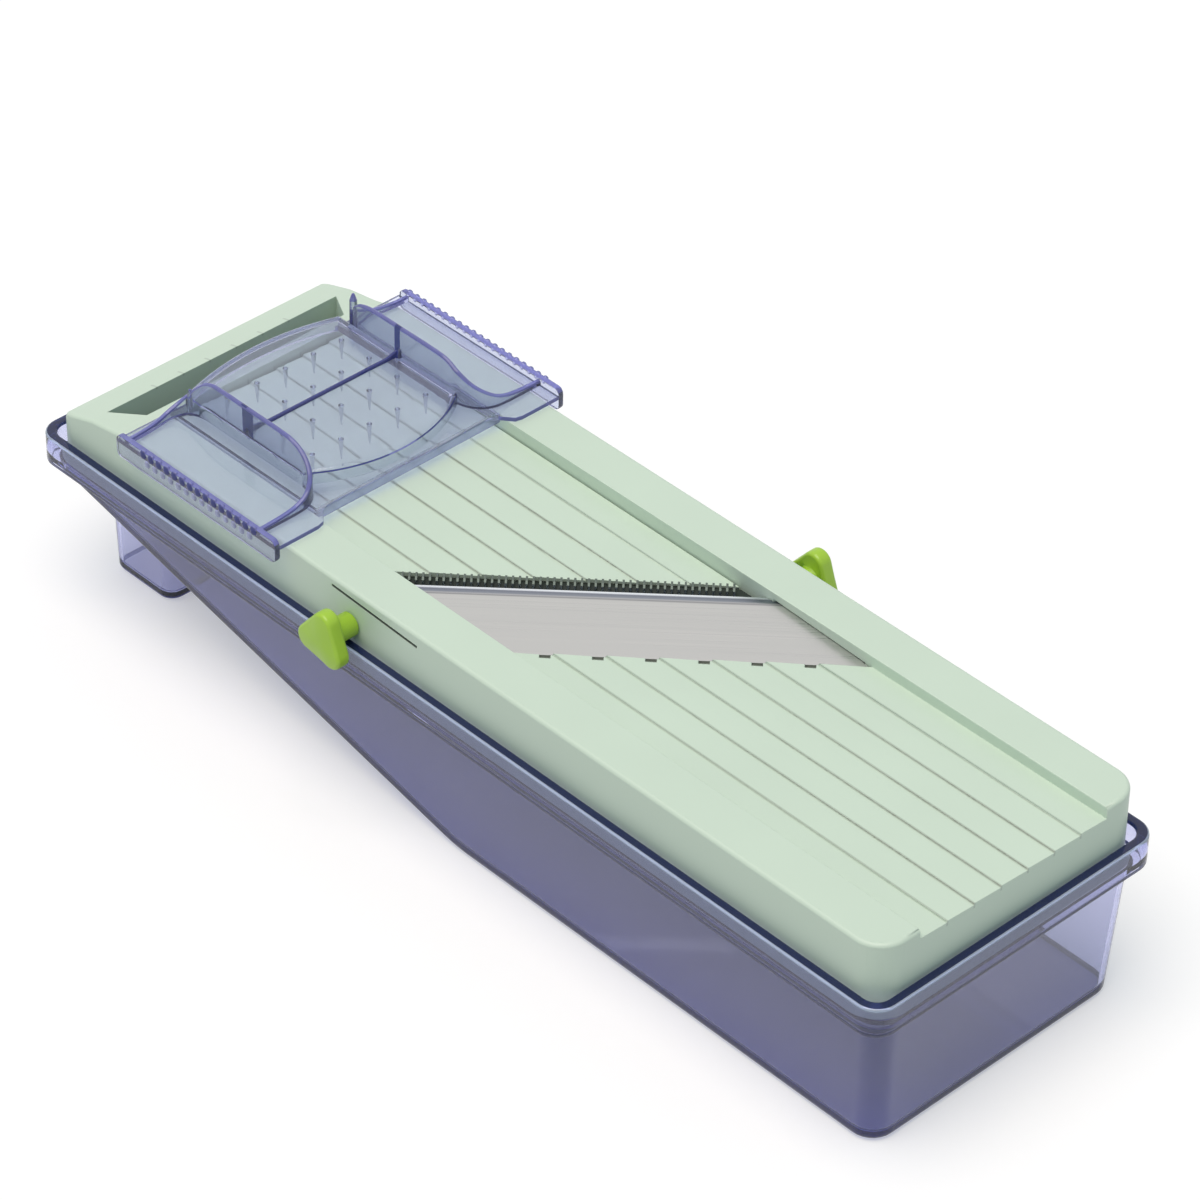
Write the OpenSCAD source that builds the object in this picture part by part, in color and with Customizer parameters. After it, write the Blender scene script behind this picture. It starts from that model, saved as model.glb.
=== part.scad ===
// Mandoline slicer on its own catch tray.
// +X runs from the hand grip to the outfeed end, +Z is up, and the origin is at the
// centre of the footprint, on the surface that the tray stands on.

/* [Catch tray] */
// Length over the tray rim
rim_len = 447.2; // [440:1:470]
// Width over the tray rim
rim_wid = 140.4; // [139:0.2:146]
// Height of the top of the tray rim
rim_top = 70.6; // [66:0.2:76]
// Depth of the rim skirt
rim_skirt = 12.9; // [11:0.1:16]
// Thickness of the rim band
rim_band = 3.2; // [2:0.1:4]
// Corner radius of the rim
rim_corner = 9; // [6:0.5:14]
// Length of the tray at its base
base_len = 434.8; // [420:1:438]
// Width of the tray at its base
base_wid = 123.6; // [110:1:126]
// How far each wall leans out from the base to the rim
wall_lean = 2.9; // [1:0.1:4]
// Wall thickness of the tray
tray_wall = 2.2; // [1.5:0.1:3]
// Floor thickness of the tray
tray_floor = 2.4; // [1.5:0.1:4]
// Rounding between the floor and the walls
base_round = 3; // [1:0.5:5]
// Where the flat floor ends and the slope begins
slope_start = 4.4; // [-20:1:30]
// Angle of the sloping floor
slope_angle = 13; // [10:0.5:13.5]
// Length of the foot below the hand grip
foot_len = 35; // [25:1:45]
// Width of the foot
foot_wid = 93.2; // [60:1:110]
// Middle of the foot
foot_x = -193.5; // [-196:0.5:-180]

/* [Slicer body] */
// Length of the slicer body
body_len = 437.7; // [425:0.5:438]
// Width of the slicer body
body_wid = 130; // [124:0.5:132]
// Height of the rail tops above the table
rail_top = 92; // [88:0.5:100]
// Depth of the food channel below the rail tops
channel_drop = 3.9; // [3:0.1:6]
// Width of the food channel between the rails
channel_wid = 92; // [88:0.5:94]
// Thickness of the body walls
body_wall = 2.5; // [2:0.1:3.5]
// Thickness of the top skin of the body
body_skin = 3; // [2:0.1:3.5]
// Corner radius of the body, seen from above
body_corner = 12; // [8:0.5:18]
// Number of stripes across the plates
stripes = 7; // [5:1:9]
// Height of the step between two stripes
stripe_step = 0.8; // [0.4:0.1:1]
// Length of the hand grip opening
grip_len = 98; // [80:1:104]
// Width of the hand grip opening
grip_wid = 14; // [12:0.5:16]
// Middle of the hand grip opening
grip_x = -188.5; // [-190:0.5:-187]

/* [Blade] */
// Angle between the cutting edge and the length of the slicer
blade_angle = 44.2; // [42:0.1:48]
// Where the cutting edge crosses the middle of the channel
blade_x = 6.65; // [0:0.5:14]
// Width of the blade, across its edge
blade_wid = 36.3; // [32:0.1:40]
// Thickness of the blade
blade_t = 1; // [0.8:0.1:1.2]
// Width of the ground bevel
bevel_wid = 4.5; // [3:0.1:6]
// Slope of the blade, down from its edge
blade_tilt = 3.3; // [2:0.1:4]
// Diameter of the studs welded below the blade
blade_stud_d = 3; // [2.5:0.5:4]
// Distance between those studs
blade_stud_gap = 28; // [20:1:30]

/* [Comb] */
// Distance between two comb teeth
tooth_pitch = 2.5; // [2:0.1:6]
// Thickness of a comb tooth
tooth_t = 0.8; // [0.5:0.1:1.2]
// Height of the teeth above the comb bar
tooth_rise = 3.4; // [2.5:0.1:4]
// Width of the comb bar
bar_wid = 5; // [4:0.1:5.4]
// Height of the comb bar
bar_tall = 14; // [12:0.5:16]

/* [Infeed plate] */
// Drop angle of the infeed plate, as it is set
set_tilt = 0.55; // [0.3:0.05:0.8]
// Thickness of the infeed plate
plate_t = 2.6; // [2:0.1:3]
// Diameter of the hinge rod
rod_d = 3; // [2.5:0.1:4]
// Depth of the stiffening ribs below the infeed plate
rib_deep = 6; // [4:0.5:7]

/* [Thickness adjuster] */
// Middle of the adjuster along the slicer
adjust_x = -66; // [-80:1:-62]
// Diameter of the adjusting screw
adjust_d = 6; // [5:0.5:8]
// Width of the bridge bar
bridge_wid = 14; // [12:0.5:16]
// Thickness of the bridge bar
bridge_t = 3; // [2:0.5:4]
// Diameter of the bridge fixing screws
bridge_screw_d = 4; // [3:0.5:4.5]
// Radius of the adjuster knob
adjust_knob_r = 16; // [12:0.5:20]
// Height of the adjuster knob
adjust_knob_t = 11; // [8:0.5:14]

/* [Side knobs] */
// Distance of each side knob from the middle of the slicer
knob_x = 46.6; // [44:0.2:48]
// Height of the side knobs above the table
knob_z = 77; // [76:0.2:78]
// Reach of a corner of the knob head from the knob axis
knob_reach = 12.4; // [10:0.2:14]
// Radius of a corner of the knob head
lobe_r = 5; // [4:0.1:6]
// Thickness of the three-sided head
head_t = 7; // [5:0.5:9]
// Length of the collar between the wall and the head
collar_len = 9.4; // [8.6:0.1:12]
// Radius of that collar
collar_r = 4.8; // [4.4:0.1:5.6]
// Diameter of the clamping studs
stud_d = 5; // [4:0.5:6]
// Turn of the corners on the near knob
near_lobe_turn = -10; // [-60:5:60]
// Turn of the corners on the far knob
far_lobe_turn = -50; // [-60:5:60]

/* [Food holder] */
// Middle of the food holder along the slicer
holder_x = -126.5; // [-130:0.5:-100]
// Length of the food holder
holder_len = 91; // [85:0.5:100]
// Gap between the body and the side grips of the holder
holder_gap = 4; // [2.5:0.1:5]
// Thickness of the clear plates and walls
holder_t = 2; // [1.6:0.1:2.6]
// Height of the side grips
grip_tall = 10; // [8:0.5:12]
// Height of the palm plateau above the wings
plateau_rise = 5.7; // [4:0.1:8]
// Height of the palm walls above the plateau
palm_rise = 12.5; // [8:0.5:16]
// Distance between the palm walls
palm_gap = 76; // [68:1:84]
// Number of food spikes in a row
spikes = 5; // [3:1:6]

/* [Hidden] */
$fn = 64;

// Clearances
seat_gap = 0.3;
run_gap = 0.05;
slide_gap = 0.4;

// Levels and places that follow from the sizes above
deck = rail_top - channel_drop;
half_channel = channel_wid / 2;
half_body = body_wid / 2;
body_end = body_len / 2;
inner_wall = half_channel + body_wall;
rim_low = rim_top - rim_skirt;
ledge_t = 2.2;
ledge_top = rim_low + 2.9;
body_low = ledge_top + seat_gap;
base_corner = 10;
slope_rise = tan(slope_angle);
bend_r = 60;
outfeed_low = deck - stripe_step - body_skin;
notch_deep = 4;
grip_drop = 5;
grip_slant = 8;

// Hinge of the infeed plate
hinge_x = -168;
hinge_z = deck - 6.1;
lug_r = 4;
lug_in = 34;
lug_out = 44;
hinge_wall_x = hinge_x - lug_r - 1;
plate_start = hinge_wall_x + 1.2;
inner_low = hinge_z - 4;
rib_t = 2;

// Cutting edge and what is set out from it, across the edge
edge_z = deck - 0.2;
comb_back = -8.4;
comb_front = comb_back + bar_wid;
plate_edge = comb_back - 0.7;
bed_start = 24;
bed_t = 8;
outfeed_start = blade_wid + 0.4;
tang_trim = 2.4;
tang_end = half_body - 1.2;
blade_end = half_channel - 0.3;
edge_t = 0.05;
washer_t = 0.8;
nut_t = 2.4;
stud_reach = washer_t + nut_t + 2.8;
comb_top = deck - 0.1 - tooth_rise;
comb_end = half_channel - 0.6;
tooth_in = 0.5;
tooth_nose = 0.9;

// Adjuster: the screw hangs in the yoke below the plate, and its nut is in the bridge
bridge_top = hinge_z - 9.4;
bridge_low = bridge_top - bridge_t;
bridge_boss_y = inner_wall + 6;
bridge_boss_r = 5;
bridge_bite = 9;
yoke_drop = (adjust_x - hinge_x) * sin(set_tilt);
bush_wall = 2;
bush_len = 4;
button_r = 5;
button_t = 2;
yoke_gap = 0.4;
yoke_wall = 2;
yoke_reach = button_r + 3;
stem_gap = 0.8;
button_gap = 0.6;
yoke_roof = deck - plate_t - 1.2;
yoke_deep = yoke_roof - button_t - 2 * yoke_gap - yoke_wall;
button_top = yoke_roof - yoke_drop - yoke_gap;
adjust_knob_top = bridge_low - 8;
adjust_knob_low = adjust_knob_top - adjust_knob_t;
adjust_grip = 7;
knob_screw_d = 3;
knob_screw_head = 1.8;
knob_screw_bite = 5;

// Side knobs
insert_r = 4.5;
insert_len = 8;
boss_r = 6.4;
collar_start = half_body + 0.4;
head_start = collar_start + collar_len;
stud_end = head_start + 3;
wall_in = half_body - body_wall;
boss_in = wall_in - insert_len;

// Food holder
wing_low = rail_top + seat_gap;
wing_top = wing_low + holder_t;
plateau_top = wing_top + plateau_rise;
grip_top = wing_top + 2.6;
apron_low = deck + 1.3;
spike_low = deck + 1.4;
palm_round = 10;
palm_len = holder_len - 14;
palm_top = plateau_top + palm_rise;
grip_t = holder_t + 0.4;
holder_wid = body_wid + 2 * (holder_gap + grip_t);
set_back = 8;
plateau_front = 35.5;
plateau_front_r = 64;
plateau_back = 51.5;
plateau_back_r = 110;
spike_gap = 16;

// Plain box from one corner to the other
module box(from, to) {
  translate(from) cube(to - from);
}

// Flat rectangle with round corners, centred
module round_rect(length, width, radius) {
  square([length - 2 * radius, width], center = true);
  square([length, width - 2 * radius], center = true);
  for (sx = [-1, 1], sy = [-1, 1])
    translate([sx * (length / 2 - radius), sy * (width / 2 - radius)]) circle(radius);
}

module round_slab(length, width, radius, low, high) {
  translate([0, 0, low]) linear_extrude(high - low) round_rect(length, width, radius);
}

// Upright prism over a side profile of [x, z] points, across the whole width
module side_prism(points, half_width) {
  rotate([90, 0, 0]) linear_extrude(2 * half_width, center = true) polygon(points);
}

// Frame of the blade: x across the cutting edge, y along it, z normal to the blade
module at_edge(tilt = 0) {
  translate([blade_x, 0, edge_z]) rotate([0, 0, blade_angle - 90]) rotate([0, tilt, 0])
    children();
}

// Place along the slicer of a line at a distance across the edge
function edge_x(across, y) =
  blade_x + y / tan(blade_angle) + across / sin(blade_angle);

// Strip along the edge between two distances across it, with its ends cut parallel to the rails
function strip(from, to, y0, y1) = [
  for (p = [[from, y0], [to, y0], [to, y1], [from, y1]])
    [p[0], (p[1] + p[0] * cos(blade_angle)) / sin(blade_angle)]
];

// The frame of the infeed plate, turned down to its set angle
module at_plate() {
  translate([hinge_x, 0, hinge_z]) rotate([0, set_tilt, 0]) translate([-hinge_x, 0, -hinge_z])
    children();
}

// Lobed knob head between two distances along its axis
module lobes(reach, tip_r, low, high, turn) {
  for (k = [0 : 2])
    hull() {
      translate([0, 0, low]) cylinder(r = tip_r, h = high - low, $fn = 32);
      rotate([0, 0, turn + 120 * k + 90]) translate([reach - tip_r, 0, low])
        cylinder(r = tip_r, h = high - low, $fn = 32);
    }
}

// Three-sided knob head with rounded corners between two distances along its axis
module three_sided(reach, tip_r, low, high, turn) {
  hull() for (k = [0 : 2]) rotate([0, 0, turn + 120 * k + 90]) translate([reach - tip_r, 0, low])
    cylinder(r = tip_r, h = high - low, $fn = 32);
}

// Striped deck: each stripe falls away from the near side, then steps up to the next
function stripe_y(k) = -half_channel + k * channel_wid / stripes;

function stripe_line(low) = [
  [-half_channel, low],
  for (k = [0 : stripes - 1]) each [[stripe_y(k), deck], [stripe_y(k + 1), deck - stripe_step]],
  [half_channel, low]
];

module striped_plate(x0, x1, low) {
  translate([x0, 0, 0]) rotate([90, 0, 90]) linear_extrude(x1 - x0) polygon(stripe_line(low));
}

// ---- Catch tray ----

function tray_profile(lift) = [
  [rim_len, lift],
  for (a = [0 : slope_angle / 6 : slope_angle])
    [slope_start + bend_r * tan(slope_angle / 2) - bend_r * sin(a), lift + bend_r * (1 - cos(a))],
  [-rim_len, lift + (rim_len + slope_start) * slope_rise],
  [-rim_len, rim_top * 3],
  [rim_len, rim_top * 3]
];

module tray_well(inset, lift, top) {
  intersection() {
    hull() {
      round_slab(base_len - 2 * inset - 2 * base_round, base_wid - 2 * inset - 2 * base_round,
        base_corner - base_round, lift, lift + 0.1, $fn = 32);
      round_slab(base_len - 2 * inset, base_wid - 2 * inset, base_corner - inset,
        lift + base_round, lift + base_round + 0.1, $fn = 32);
      round_slab(base_len - 2 * inset + 2 * wall_lean, base_wid - 2 * inset + 2 * wall_lean,
        base_corner - inset, top - 0.1, top, $fn = 32);
    }
    side_prism(tray_profile(lift), rim_wid);
  }
}

module foot_block(inset, low, high) {
  translate([foot_x, 0, 0]) hull() {
    round_slab(foot_len - 2 * inset - 4, foot_wid - 2 * inset - 4, 5, low, low + 0.1, $fn = 32);
    round_slab(foot_len - 2 * inset, foot_wid - 2 * inset, 6, low + 2, low + 2.1, $fn = 32);
    round_slab(foot_len - 2 * inset + 2, foot_wid - 2 * inset + 2, 6, high - 0.1, high, $fn = 32);
  }
}

module catch_tray() {
  foot_high = (slope_start - foot_x + foot_len / 2) * slope_rise + tray_wall;
  color("slateblue", 0.6) {
    difference() {
      union() {
        tray_well(0, 0, ledge_top);
        foot_block(0, 0, foot_high);
        difference() {
          round_slab(rim_len, rim_wid, rim_corner, rim_low, rim_top);
          round_slab(rim_len - 2 * rim_band, rim_wid - 2 * rim_band, rim_corner - rim_band,
            rim_low - 1, rim_top + 1);
        }
        round_slab(rim_len - rim_band, rim_wid - rim_band, rim_corner - rim_band / 2,
          ledge_top - ledge_t, ledge_top);
      }
      tray_well(tray_wall, tray_floor, ledge_top + 0.2);
      foot_block(tray_wall, tray_floor, foot_high + 1);
    }
  }
}

// ---- Slicer body ----

// Side view of the body, lowered by a skin where it is used for the hollow
function body_profile(skin, wall) = [
  [-body_end + wall, body_low - (skin > 0 ? 1 : 0)],
  [body_end - wall, body_low - (skin > 0 ? 1 : 0)],
  [body_end - wall, rail_top - skin],
  [hinge_wall_x + 2, rail_top - skin],
  [hinge_wall_x - 8, rail_top - 2.7 - skin],
  [grip_x - grip_wid / 2, rail_top - grip_drop - skin],
  [-body_end + 7.5 + wall, rail_top - 10 - skin],
  [-body_end + wall, rim_top + 2 - skin]
];

module grip_hole(grow, low, high) {
  reach = grip_wid / 2 + grow;
  ends = grip_len / 2 + grow;
  translate([grip_x, 0, low]) linear_extrude(high - low) polygon([
    [-reach, -ends - grip_slant], [reach, -ends], [reach, ends], [-reach, ends + grip_slant]
  ]);
}

// What lies inside the outer walls, up to a height
module body_core(high) {
  round_slab(body_len - 2 * body_wall, body_wid - 2 * body_wall, body_corner - body_wall, 0, high);
}

module body_shell() {
  difference() {
    intersection() {
      round_slab(body_len, body_wid, body_corner, body_low, rail_top);
      side_prism(body_profile(0, 0), body_wid);
    }
    // Food channel and the hollow below the deck
    box([hinge_wall_x, -half_channel, outfeed_low], [body_len, half_channel, rail_top + 1]);
    box([hinge_wall_x, -half_channel, 0], [body_end - body_wall, half_channel, deck]);
    // Hollow below the rails
    for (side = [-1, 1]) mirror([0, side > 0 ? 0 : 1, 0])
      box([hinge_wall_x, inner_wall, 0], [body_end - body_wall - 3, wall_in, rail_top - body_skin]);
    // Room below the inner walls of the rails
    intersection() {
      body_core(inner_low);
      side_prism(body_profile(body_skin, body_wall), body_wid);
    }
    // Hollow in the hand grip end
    intersection() {
      body_core(rail_top);
      side_prism(body_profile(body_skin, body_wall), body_wid);
      box([-body_len, -body_wid, 0], [hinge_wall_x - body_wall, body_wid, rail_top]);
    }
  }
}

// The outfeed deck, cut off behind the blade, with a small notch below each step
module outfeed_deck() {
  difference() {
    striped_plate(0, body_end, outfeed_low);
    at_edge() linear_extrude(rail_top, center = true)
      polygon(strip(-body_wid, outfeed_start, -body_wid, body_wid));
    for (k = [1 : stripes - 1]) {
      y = stripe_y(k) - notch_deep / 2;
      translate([edge_x(outfeed_start, y), y, deck - 1]) rotate([0, 0, blade_angle - 90])
        cube([notch_deep, notch_deep, notch_deep], center = true);
    }
  }
}

module slicer_body() {
  color("honeydew") difference() {
    union() {
      difference() {
        body_shell();
        grip_hole(0, 0, rail_top + 1);
      }
      difference() {
        grip_hole(body_wall, rim_top, rail_top - grip_drop - 1);
        grip_hole(0, 0, rail_top + 1);
      }
      outfeed_deck();
      // Bed below the rear half of the blade
      at_edge(blade_tilt) translate([0, 0, -bed_t]) linear_extrude(bed_t)
        polygon(strip(bed_start, outfeed_start + 3, -half_channel - 1, half_channel + 1));
      // Bosses for the clamp inserts
      for (side = [-1, 1]) at_knob(side) translate([0, 0, boss_in])
        cylinder(r = boss_r, h = insert_len + body_wall / 2);
      // Bosses for the bridge bar
      for (side = [-1, 1])
        translate([adjust_x, side * bridge_boss_y, bridge_top])
          cylinder(r = bridge_boss_r, h = rail_top - body_skin - bridge_top + 0.5);
    }
    // Slots for the tangs of the blade
    at_edge(blade_tilt) translate([0, 0, -seat_gap / 2]) linear_extrude(blade_t + seat_gap)
      polygon(strip(tang_trim - slide_gap, blade_wid - tang_trim + slide_gap, -body_wid, inner_wall + 1));
    // Bores for the blade studs
    blade_stud_places() translate([0, 0, -bed_t - 1])
      cylinder(r = blade_stud_d / 2 + 0.2, h = bed_t + 2);
    // Bores for the clamp inserts and studs
    for (side = [-1, 1]) at_knob(side) {
      translate([0, 0, half_channel - 1]) cylinder(r = stud_d / 2 + slide_gap, h = half_body);
      translate([0, 0, boss_in - 1]) cylinder(r = insert_r, h = insert_len + 1);
    }
    // Bore for the hinge rod
    translate([hinge_x, 0, hinge_z]) rotate([90, 0, 0])
      cylinder(r = rod_d / 2 + run_gap, h = 2 * inner_wall + 2, center = true);
    // Pilot bores for the bridge screws
    for (side = [-1, 1])
      translate([adjust_x, side * bridge_boss_y, bridge_top - 1])
        cylinder(r = bridge_screw_d / 2, h = bridge_bite + 2);
  }
}

// ---- Infeed plate and its hinge ----

module infeed_plate() {
  near_x = edge_x(plate_edge, -half_channel);
  far_x = edge_x(plate_edge, half_channel);
  side = half_channel - 0.7;
  plate_low = deck - plate_t - stripe_step;
  rib_low = plate_low - rib_deep;
  color("honeydew") at_plate() difference() {
    union() {
      intersection() {
        union() {
          striped_plate(plate_start, far_x, plate_low);
          // Stiffening ribs along both sides, across the plate and along its edge
          for (y = [-side, side - rib_t]) box([hinge_x + 6, y, rib_low], [far_x, y + rib_t, deck - 1]);
          for (x = [hinge_x + 30 : 28 : near_x - 12]) if (abs(x - adjust_x) > 12)
            box([x, -side, rib_low + 2], [x + rib_t, side, deck - 1]);
          at_edge() translate([0, 0, rib_low + 1 - edge_z]) linear_extrude(deck - 2 - rib_low)
            polygon(strip(plate_edge - rib_t, plate_edge + rib_t, -half_body, half_body));
        }
        box([plate_start, -side, 0], [far_x, side, rail_top]);
      }
      // Hinge lugs
      for (y = [-lug_out, lug_in]) {
        translate([hinge_x, y, hinge_z]) rotate([-90, 0, 0]) cylinder(r = lug_r, h = lug_out - lug_in);
        box([hinge_x - lug_r + 0.5, y, hinge_z], [hinge_x + lug_r - 0.5, y + lug_out - lug_in, deck - 1]);
      }
      // Yoke that holds the button of the adjusting screw
      box([adjust_x - yoke_reach, -yoke_reach - 1, yoke_deep],
        [adjust_x + yoke_reach, yoke_reach + 1, deck - 1]);
    }
    // Slanting edge in front of the comb
    at_edge() linear_extrude(rail_top, center = true)
      polygon(strip(plate_edge, body_wid, -body_wid, body_wid));
    translate([hinge_x, 0, hinge_z]) rotate([90, 0, 0])
      cylinder(r = rod_d / 2 + run_gap, h = channel_wid, center = true);
    // Slot for the button, open toward the hinge, and the narrower slot for the stem
    box([adjust_x - yoke_reach - 1, -button_r - button_gap, yoke_deep + yoke_wall],
      [adjust_x + button_r + 1, button_r + button_gap, yoke_roof]);
    box([adjust_x - yoke_reach - 1, -adjust_d / 2 - stem_gap, yoke_deep - 1],
      [adjust_x + adjust_d / 2 + stem_gap, adjust_d / 2 + stem_gap, yoke_roof - 1]);
  }
}

module hinge_rod() {
  color("silver") translate([hinge_x, 0, hinge_z]) rotate([90, 0, 0])
    cylinder(r = rod_d / 2, h = 2 * inner_wall + 1.5, center = true);
}

// ---- Main blade ----

module blade_stud_places() {
  middle = (outfeed_start + bed_start) / 2;
  centre = middle / tan(blade_angle);
  at_edge(blade_tilt) for (k = [-1.5 : 1 : 1.5])
    translate([middle, centre + k * blade_stud_gap, 0]) children();
}

module main_blade() {
  color("lightgray") at_edge(blade_tilt) difference() {
    linear_extrude(blade_t) union() {
      polygon(strip(0, blade_wid, -blade_end, blade_end));
      polygon(strip(tang_trim, blade_wid - tang_trim, -tang_end, inner_wall - 0.5));
    }
    // Ground bevel
    rotate([90, 0, 0]) linear_extrude(3 * body_wid, center = true)
      polygon([[-1, edge_t], [0, edge_t], [bevel_wid, blade_t], [bevel_wid, blade_t + 1], [-1, blade_t + 1]]);
  }
}

module blade_studs() {
  color("silver") blade_stud_places() translate([0, 0, -bed_t - stud_reach])
    cylinder(r = blade_stud_d / 2, h = bed_t + stud_reach);
}

module blade_washers() {
  color("silver") blade_stud_places() translate([0, 0, -bed_t - washer_t]) difference() {
    cylinder(r = blade_stud_d + 0.5, h = washer_t);
    translate([0, 0, -1]) cylinder(r = blade_stud_d / 2 + 0.2, h = washer_t + 2);
  }
}

module blade_nuts() {
  color("silver") blade_stud_places() translate([0, 0, -bed_t - washer_t - nut_t]) difference() {
    cylinder(r = blade_stud_d * 1.05, h = nut_t, $fn = 6);
    translate([0, 0, -1]) cylinder(r = blade_stud_d / 2, h = nut_t + 2);
  }
}

// ---- Comb ----

module comb_bar() {
  color("darkslategray") at_edge() translate([0, 0, comb_top - bar_tall - edge_z])
    linear_extrude(bar_tall) polygon(strip(comb_back, comb_front, -comb_end, comb_end));
}

// Teeth stand in the bar, each with its cutting nose toward the blade side
module comb_teeth() {
  reach = (comb_end - 1.2) / sin(blade_angle) - bar_wid / 2;
  count = floor(reach / tooth_pitch);
  middle = (comb_back + comb_front) / 2;
  centre = middle / tan(blade_angle);
  color("silver") at_edge() for (k = [-count : count])
    translate([0, centre + k * tooth_pitch - tooth_t / 2, comb_top - edge_z])
      rotate([90, 0, 0]) mirror([0, 0, 1]) linear_extrude(tooth_t)
        polygon([
          [comb_back + tooth_in, 0], [comb_front - tooth_in, 0],
          [comb_front - tooth_in, tooth_rise - tooth_nose],
          [comb_front - tooth_in - tooth_nose, tooth_rise], [comb_back + tooth_nose, tooth_rise]
        ]);
}

// ---- Side knobs that clamp the comb ----

// Frame of a side knob: z points out from the body along the knob axis
module at_knob(side) {
  translate([side * knob_x, 0, knob_z]) rotate([-side * 90, 0, 0]) children();
}

module knob_head(turn) {
  difference() {
    union() {
      three_sided(knob_reach, lobe_r, head_start, head_start + head_t, turn);
      translate([0, 0, collar_start]) cylinder(r = collar_r, h = head_start - collar_start + 1);
    }
    cylinder(r = stud_d / 2 + run_gap, h = stud_end + run_gap);
  }
}

module near_knob() {
  color("yellowgreen") at_knob(-1) knob_head(near_lobe_turn);
}

module far_knob() {
  color("yellowgreen") at_knob(1) knob_head(far_lobe_turn);
}

module clamp_stud() {
  stud_start = comb_end + seat_gap;
  translate([0, 0, stud_start]) cylinder(r = stud_d / 2, h = stud_end - stud_start);
}

module near_stud() {
  color("silver") at_knob(-1) clamp_stud();
}

module far_stud() {
  color("silver") at_knob(1) clamp_stud();
}

module clamp_insert() {
  translate([0, 0, boss_in]) difference() {
    cylinder(r = insert_r, h = insert_len);
    translate([0, 0, -1]) cylinder(r = stud_d / 2 + run_gap, h = insert_len + 2);
  }
}

module near_insert() {
  color("goldenrod") at_knob(-1) clamp_insert();
}

module far_insert() {
  color("goldenrod") at_knob(1) clamp_insert();
}

// ---- Thickness adjuster ----

module bridge_bar() {
  color("silver") difference() {
    box([adjust_x - bridge_wid / 2, -bridge_boss_y - bridge_boss_r, bridge_low],
      [adjust_x + bridge_wid / 2, bridge_boss_y + bridge_boss_r, bridge_top]);
    for (side = [-1, 1]) translate([adjust_x, side * bridge_boss_y, bridge_low - 1])
      cylinder(r = bridge_screw_d / 2 + 0.2, h = bridge_t + 2);
    translate([adjust_x, 0, bridge_low - 1]) cylinder(r = adjust_d / 2 + bush_wall, h = bridge_t + 2);
  }
}

module bridge_screws() {
  head = 0.6 * bridge_screw_d;
  color("silver") for (side = [-1, 1]) translate([adjust_x, side * bridge_boss_y, bridge_low]) {
    cylinder(r = bridge_screw_d / 2, h = bridge_t + bridge_bite);
    translate([0, 0, -head]) cylinder(r = bridge_screw_d, h = head);
  }
}

module bridge_insert() {
  color("goldenrod") translate([adjust_x, 0, bridge_low]) difference() {
    union() {
      cylinder(r = adjust_d / 2 + bush_wall, h = bridge_t);
      translate([0, 0, -bush_len]) cylinder(r = adjust_d / 2 + 2 * bush_wall, h = bush_len);
    }
    translate([0, 0, -bush_len - 1])
      cylinder(r = adjust_d / 2 + run_gap, h = bridge_t + bush_len + 2);
  }
}

module adjuster_screw() {
  low = adjust_knob_top - adjust_grip;
  color("silver") translate([adjust_x, 0, 0]) difference() {
    union() {
      translate([0, 0, low]) cylinder(r = adjust_d / 2, h = button_top - low);
      translate([0, 0, button_top - button_t]) cylinder(r = button_r, h = button_t);
    }
    translate([0, 0, low - 1]) cylinder(r = knob_screw_d / 2 + run_gap, h = knob_screw_bite + 2);
  }
}

module adjuster_knob() {
  floor_t = adjust_knob_t - adjust_grip;
  color("yellowgreen") translate([adjust_x, 0, adjust_knob_low]) difference() {
    union() {
      lobes(adjust_knob_r, adjust_knob_r / 3, 0, adjust_knob_t - 2, 0);
      cylinder(r = adjust_d / 2 + 4, h = adjust_knob_t);
    }
    translate([0, 0, floor_t]) cylinder(r = adjust_d / 2 + run_gap, h = adjust_knob_t);
    translate([0, 0, -1]) cylinder(r = knob_screw_d / 2 + run_gap, h = adjust_knob_t);
    translate([0, 0, -1]) cylinder(r = knob_screw_d + seat_gap, h = knob_screw_head + 1.2);
  }
}

module adjuster_knob_screw() {
  color("silver") translate([adjust_x, 0, adjust_knob_low + 0.2]) {
    cylinder(r = knob_screw_d, h = knob_screw_head);
    cylinder(r = knob_screw_d / 2, h = adjust_knob_t - adjust_grip + knob_screw_bite);
  }
}

// ---- Food holder ----

// Side view of a palm wall, from its rear arm over its top to its front arm
function palm_line(half) = [
  [-half - 1, wing_low], [half + 1, wing_low], [half + 1, grip_top], [half - 3, grip_top],
  [half - 8, plateau_top + palm_rise * 0.6], [half - 16, palm_top], [-half + 14, palm_top],
  [-half + 8, plateau_top + palm_rise * 0.7], [-half + 3, grip_top], [-half - 1, grip_top]
];

// Palm wall: a band that runs along the holder and turns out to the side grip at both ends
module palm_wall(side) {
  inner = palm_gap / 2;
  inside = holder_wid / 2 - 1;
  intersection() {
    translate([holder_x, side * (inner + body_wid / 2), 0]) difference() {
      round_slab(palm_len, body_wid, palm_round, wing_top - 0.5, palm_top);
      round_slab(palm_len - 2 * holder_t, body_wid - 2 * holder_t, palm_round - holder_t, 0, palm_top + 1);
    }
    translate([holder_x, 0, 0]) side_prism(palm_line(palm_len / 2), holder_wid);
    box([holder_x - holder_len, -inside, 0], [holder_x + holder_len, inside, palm_top]);
  }
}

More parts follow.
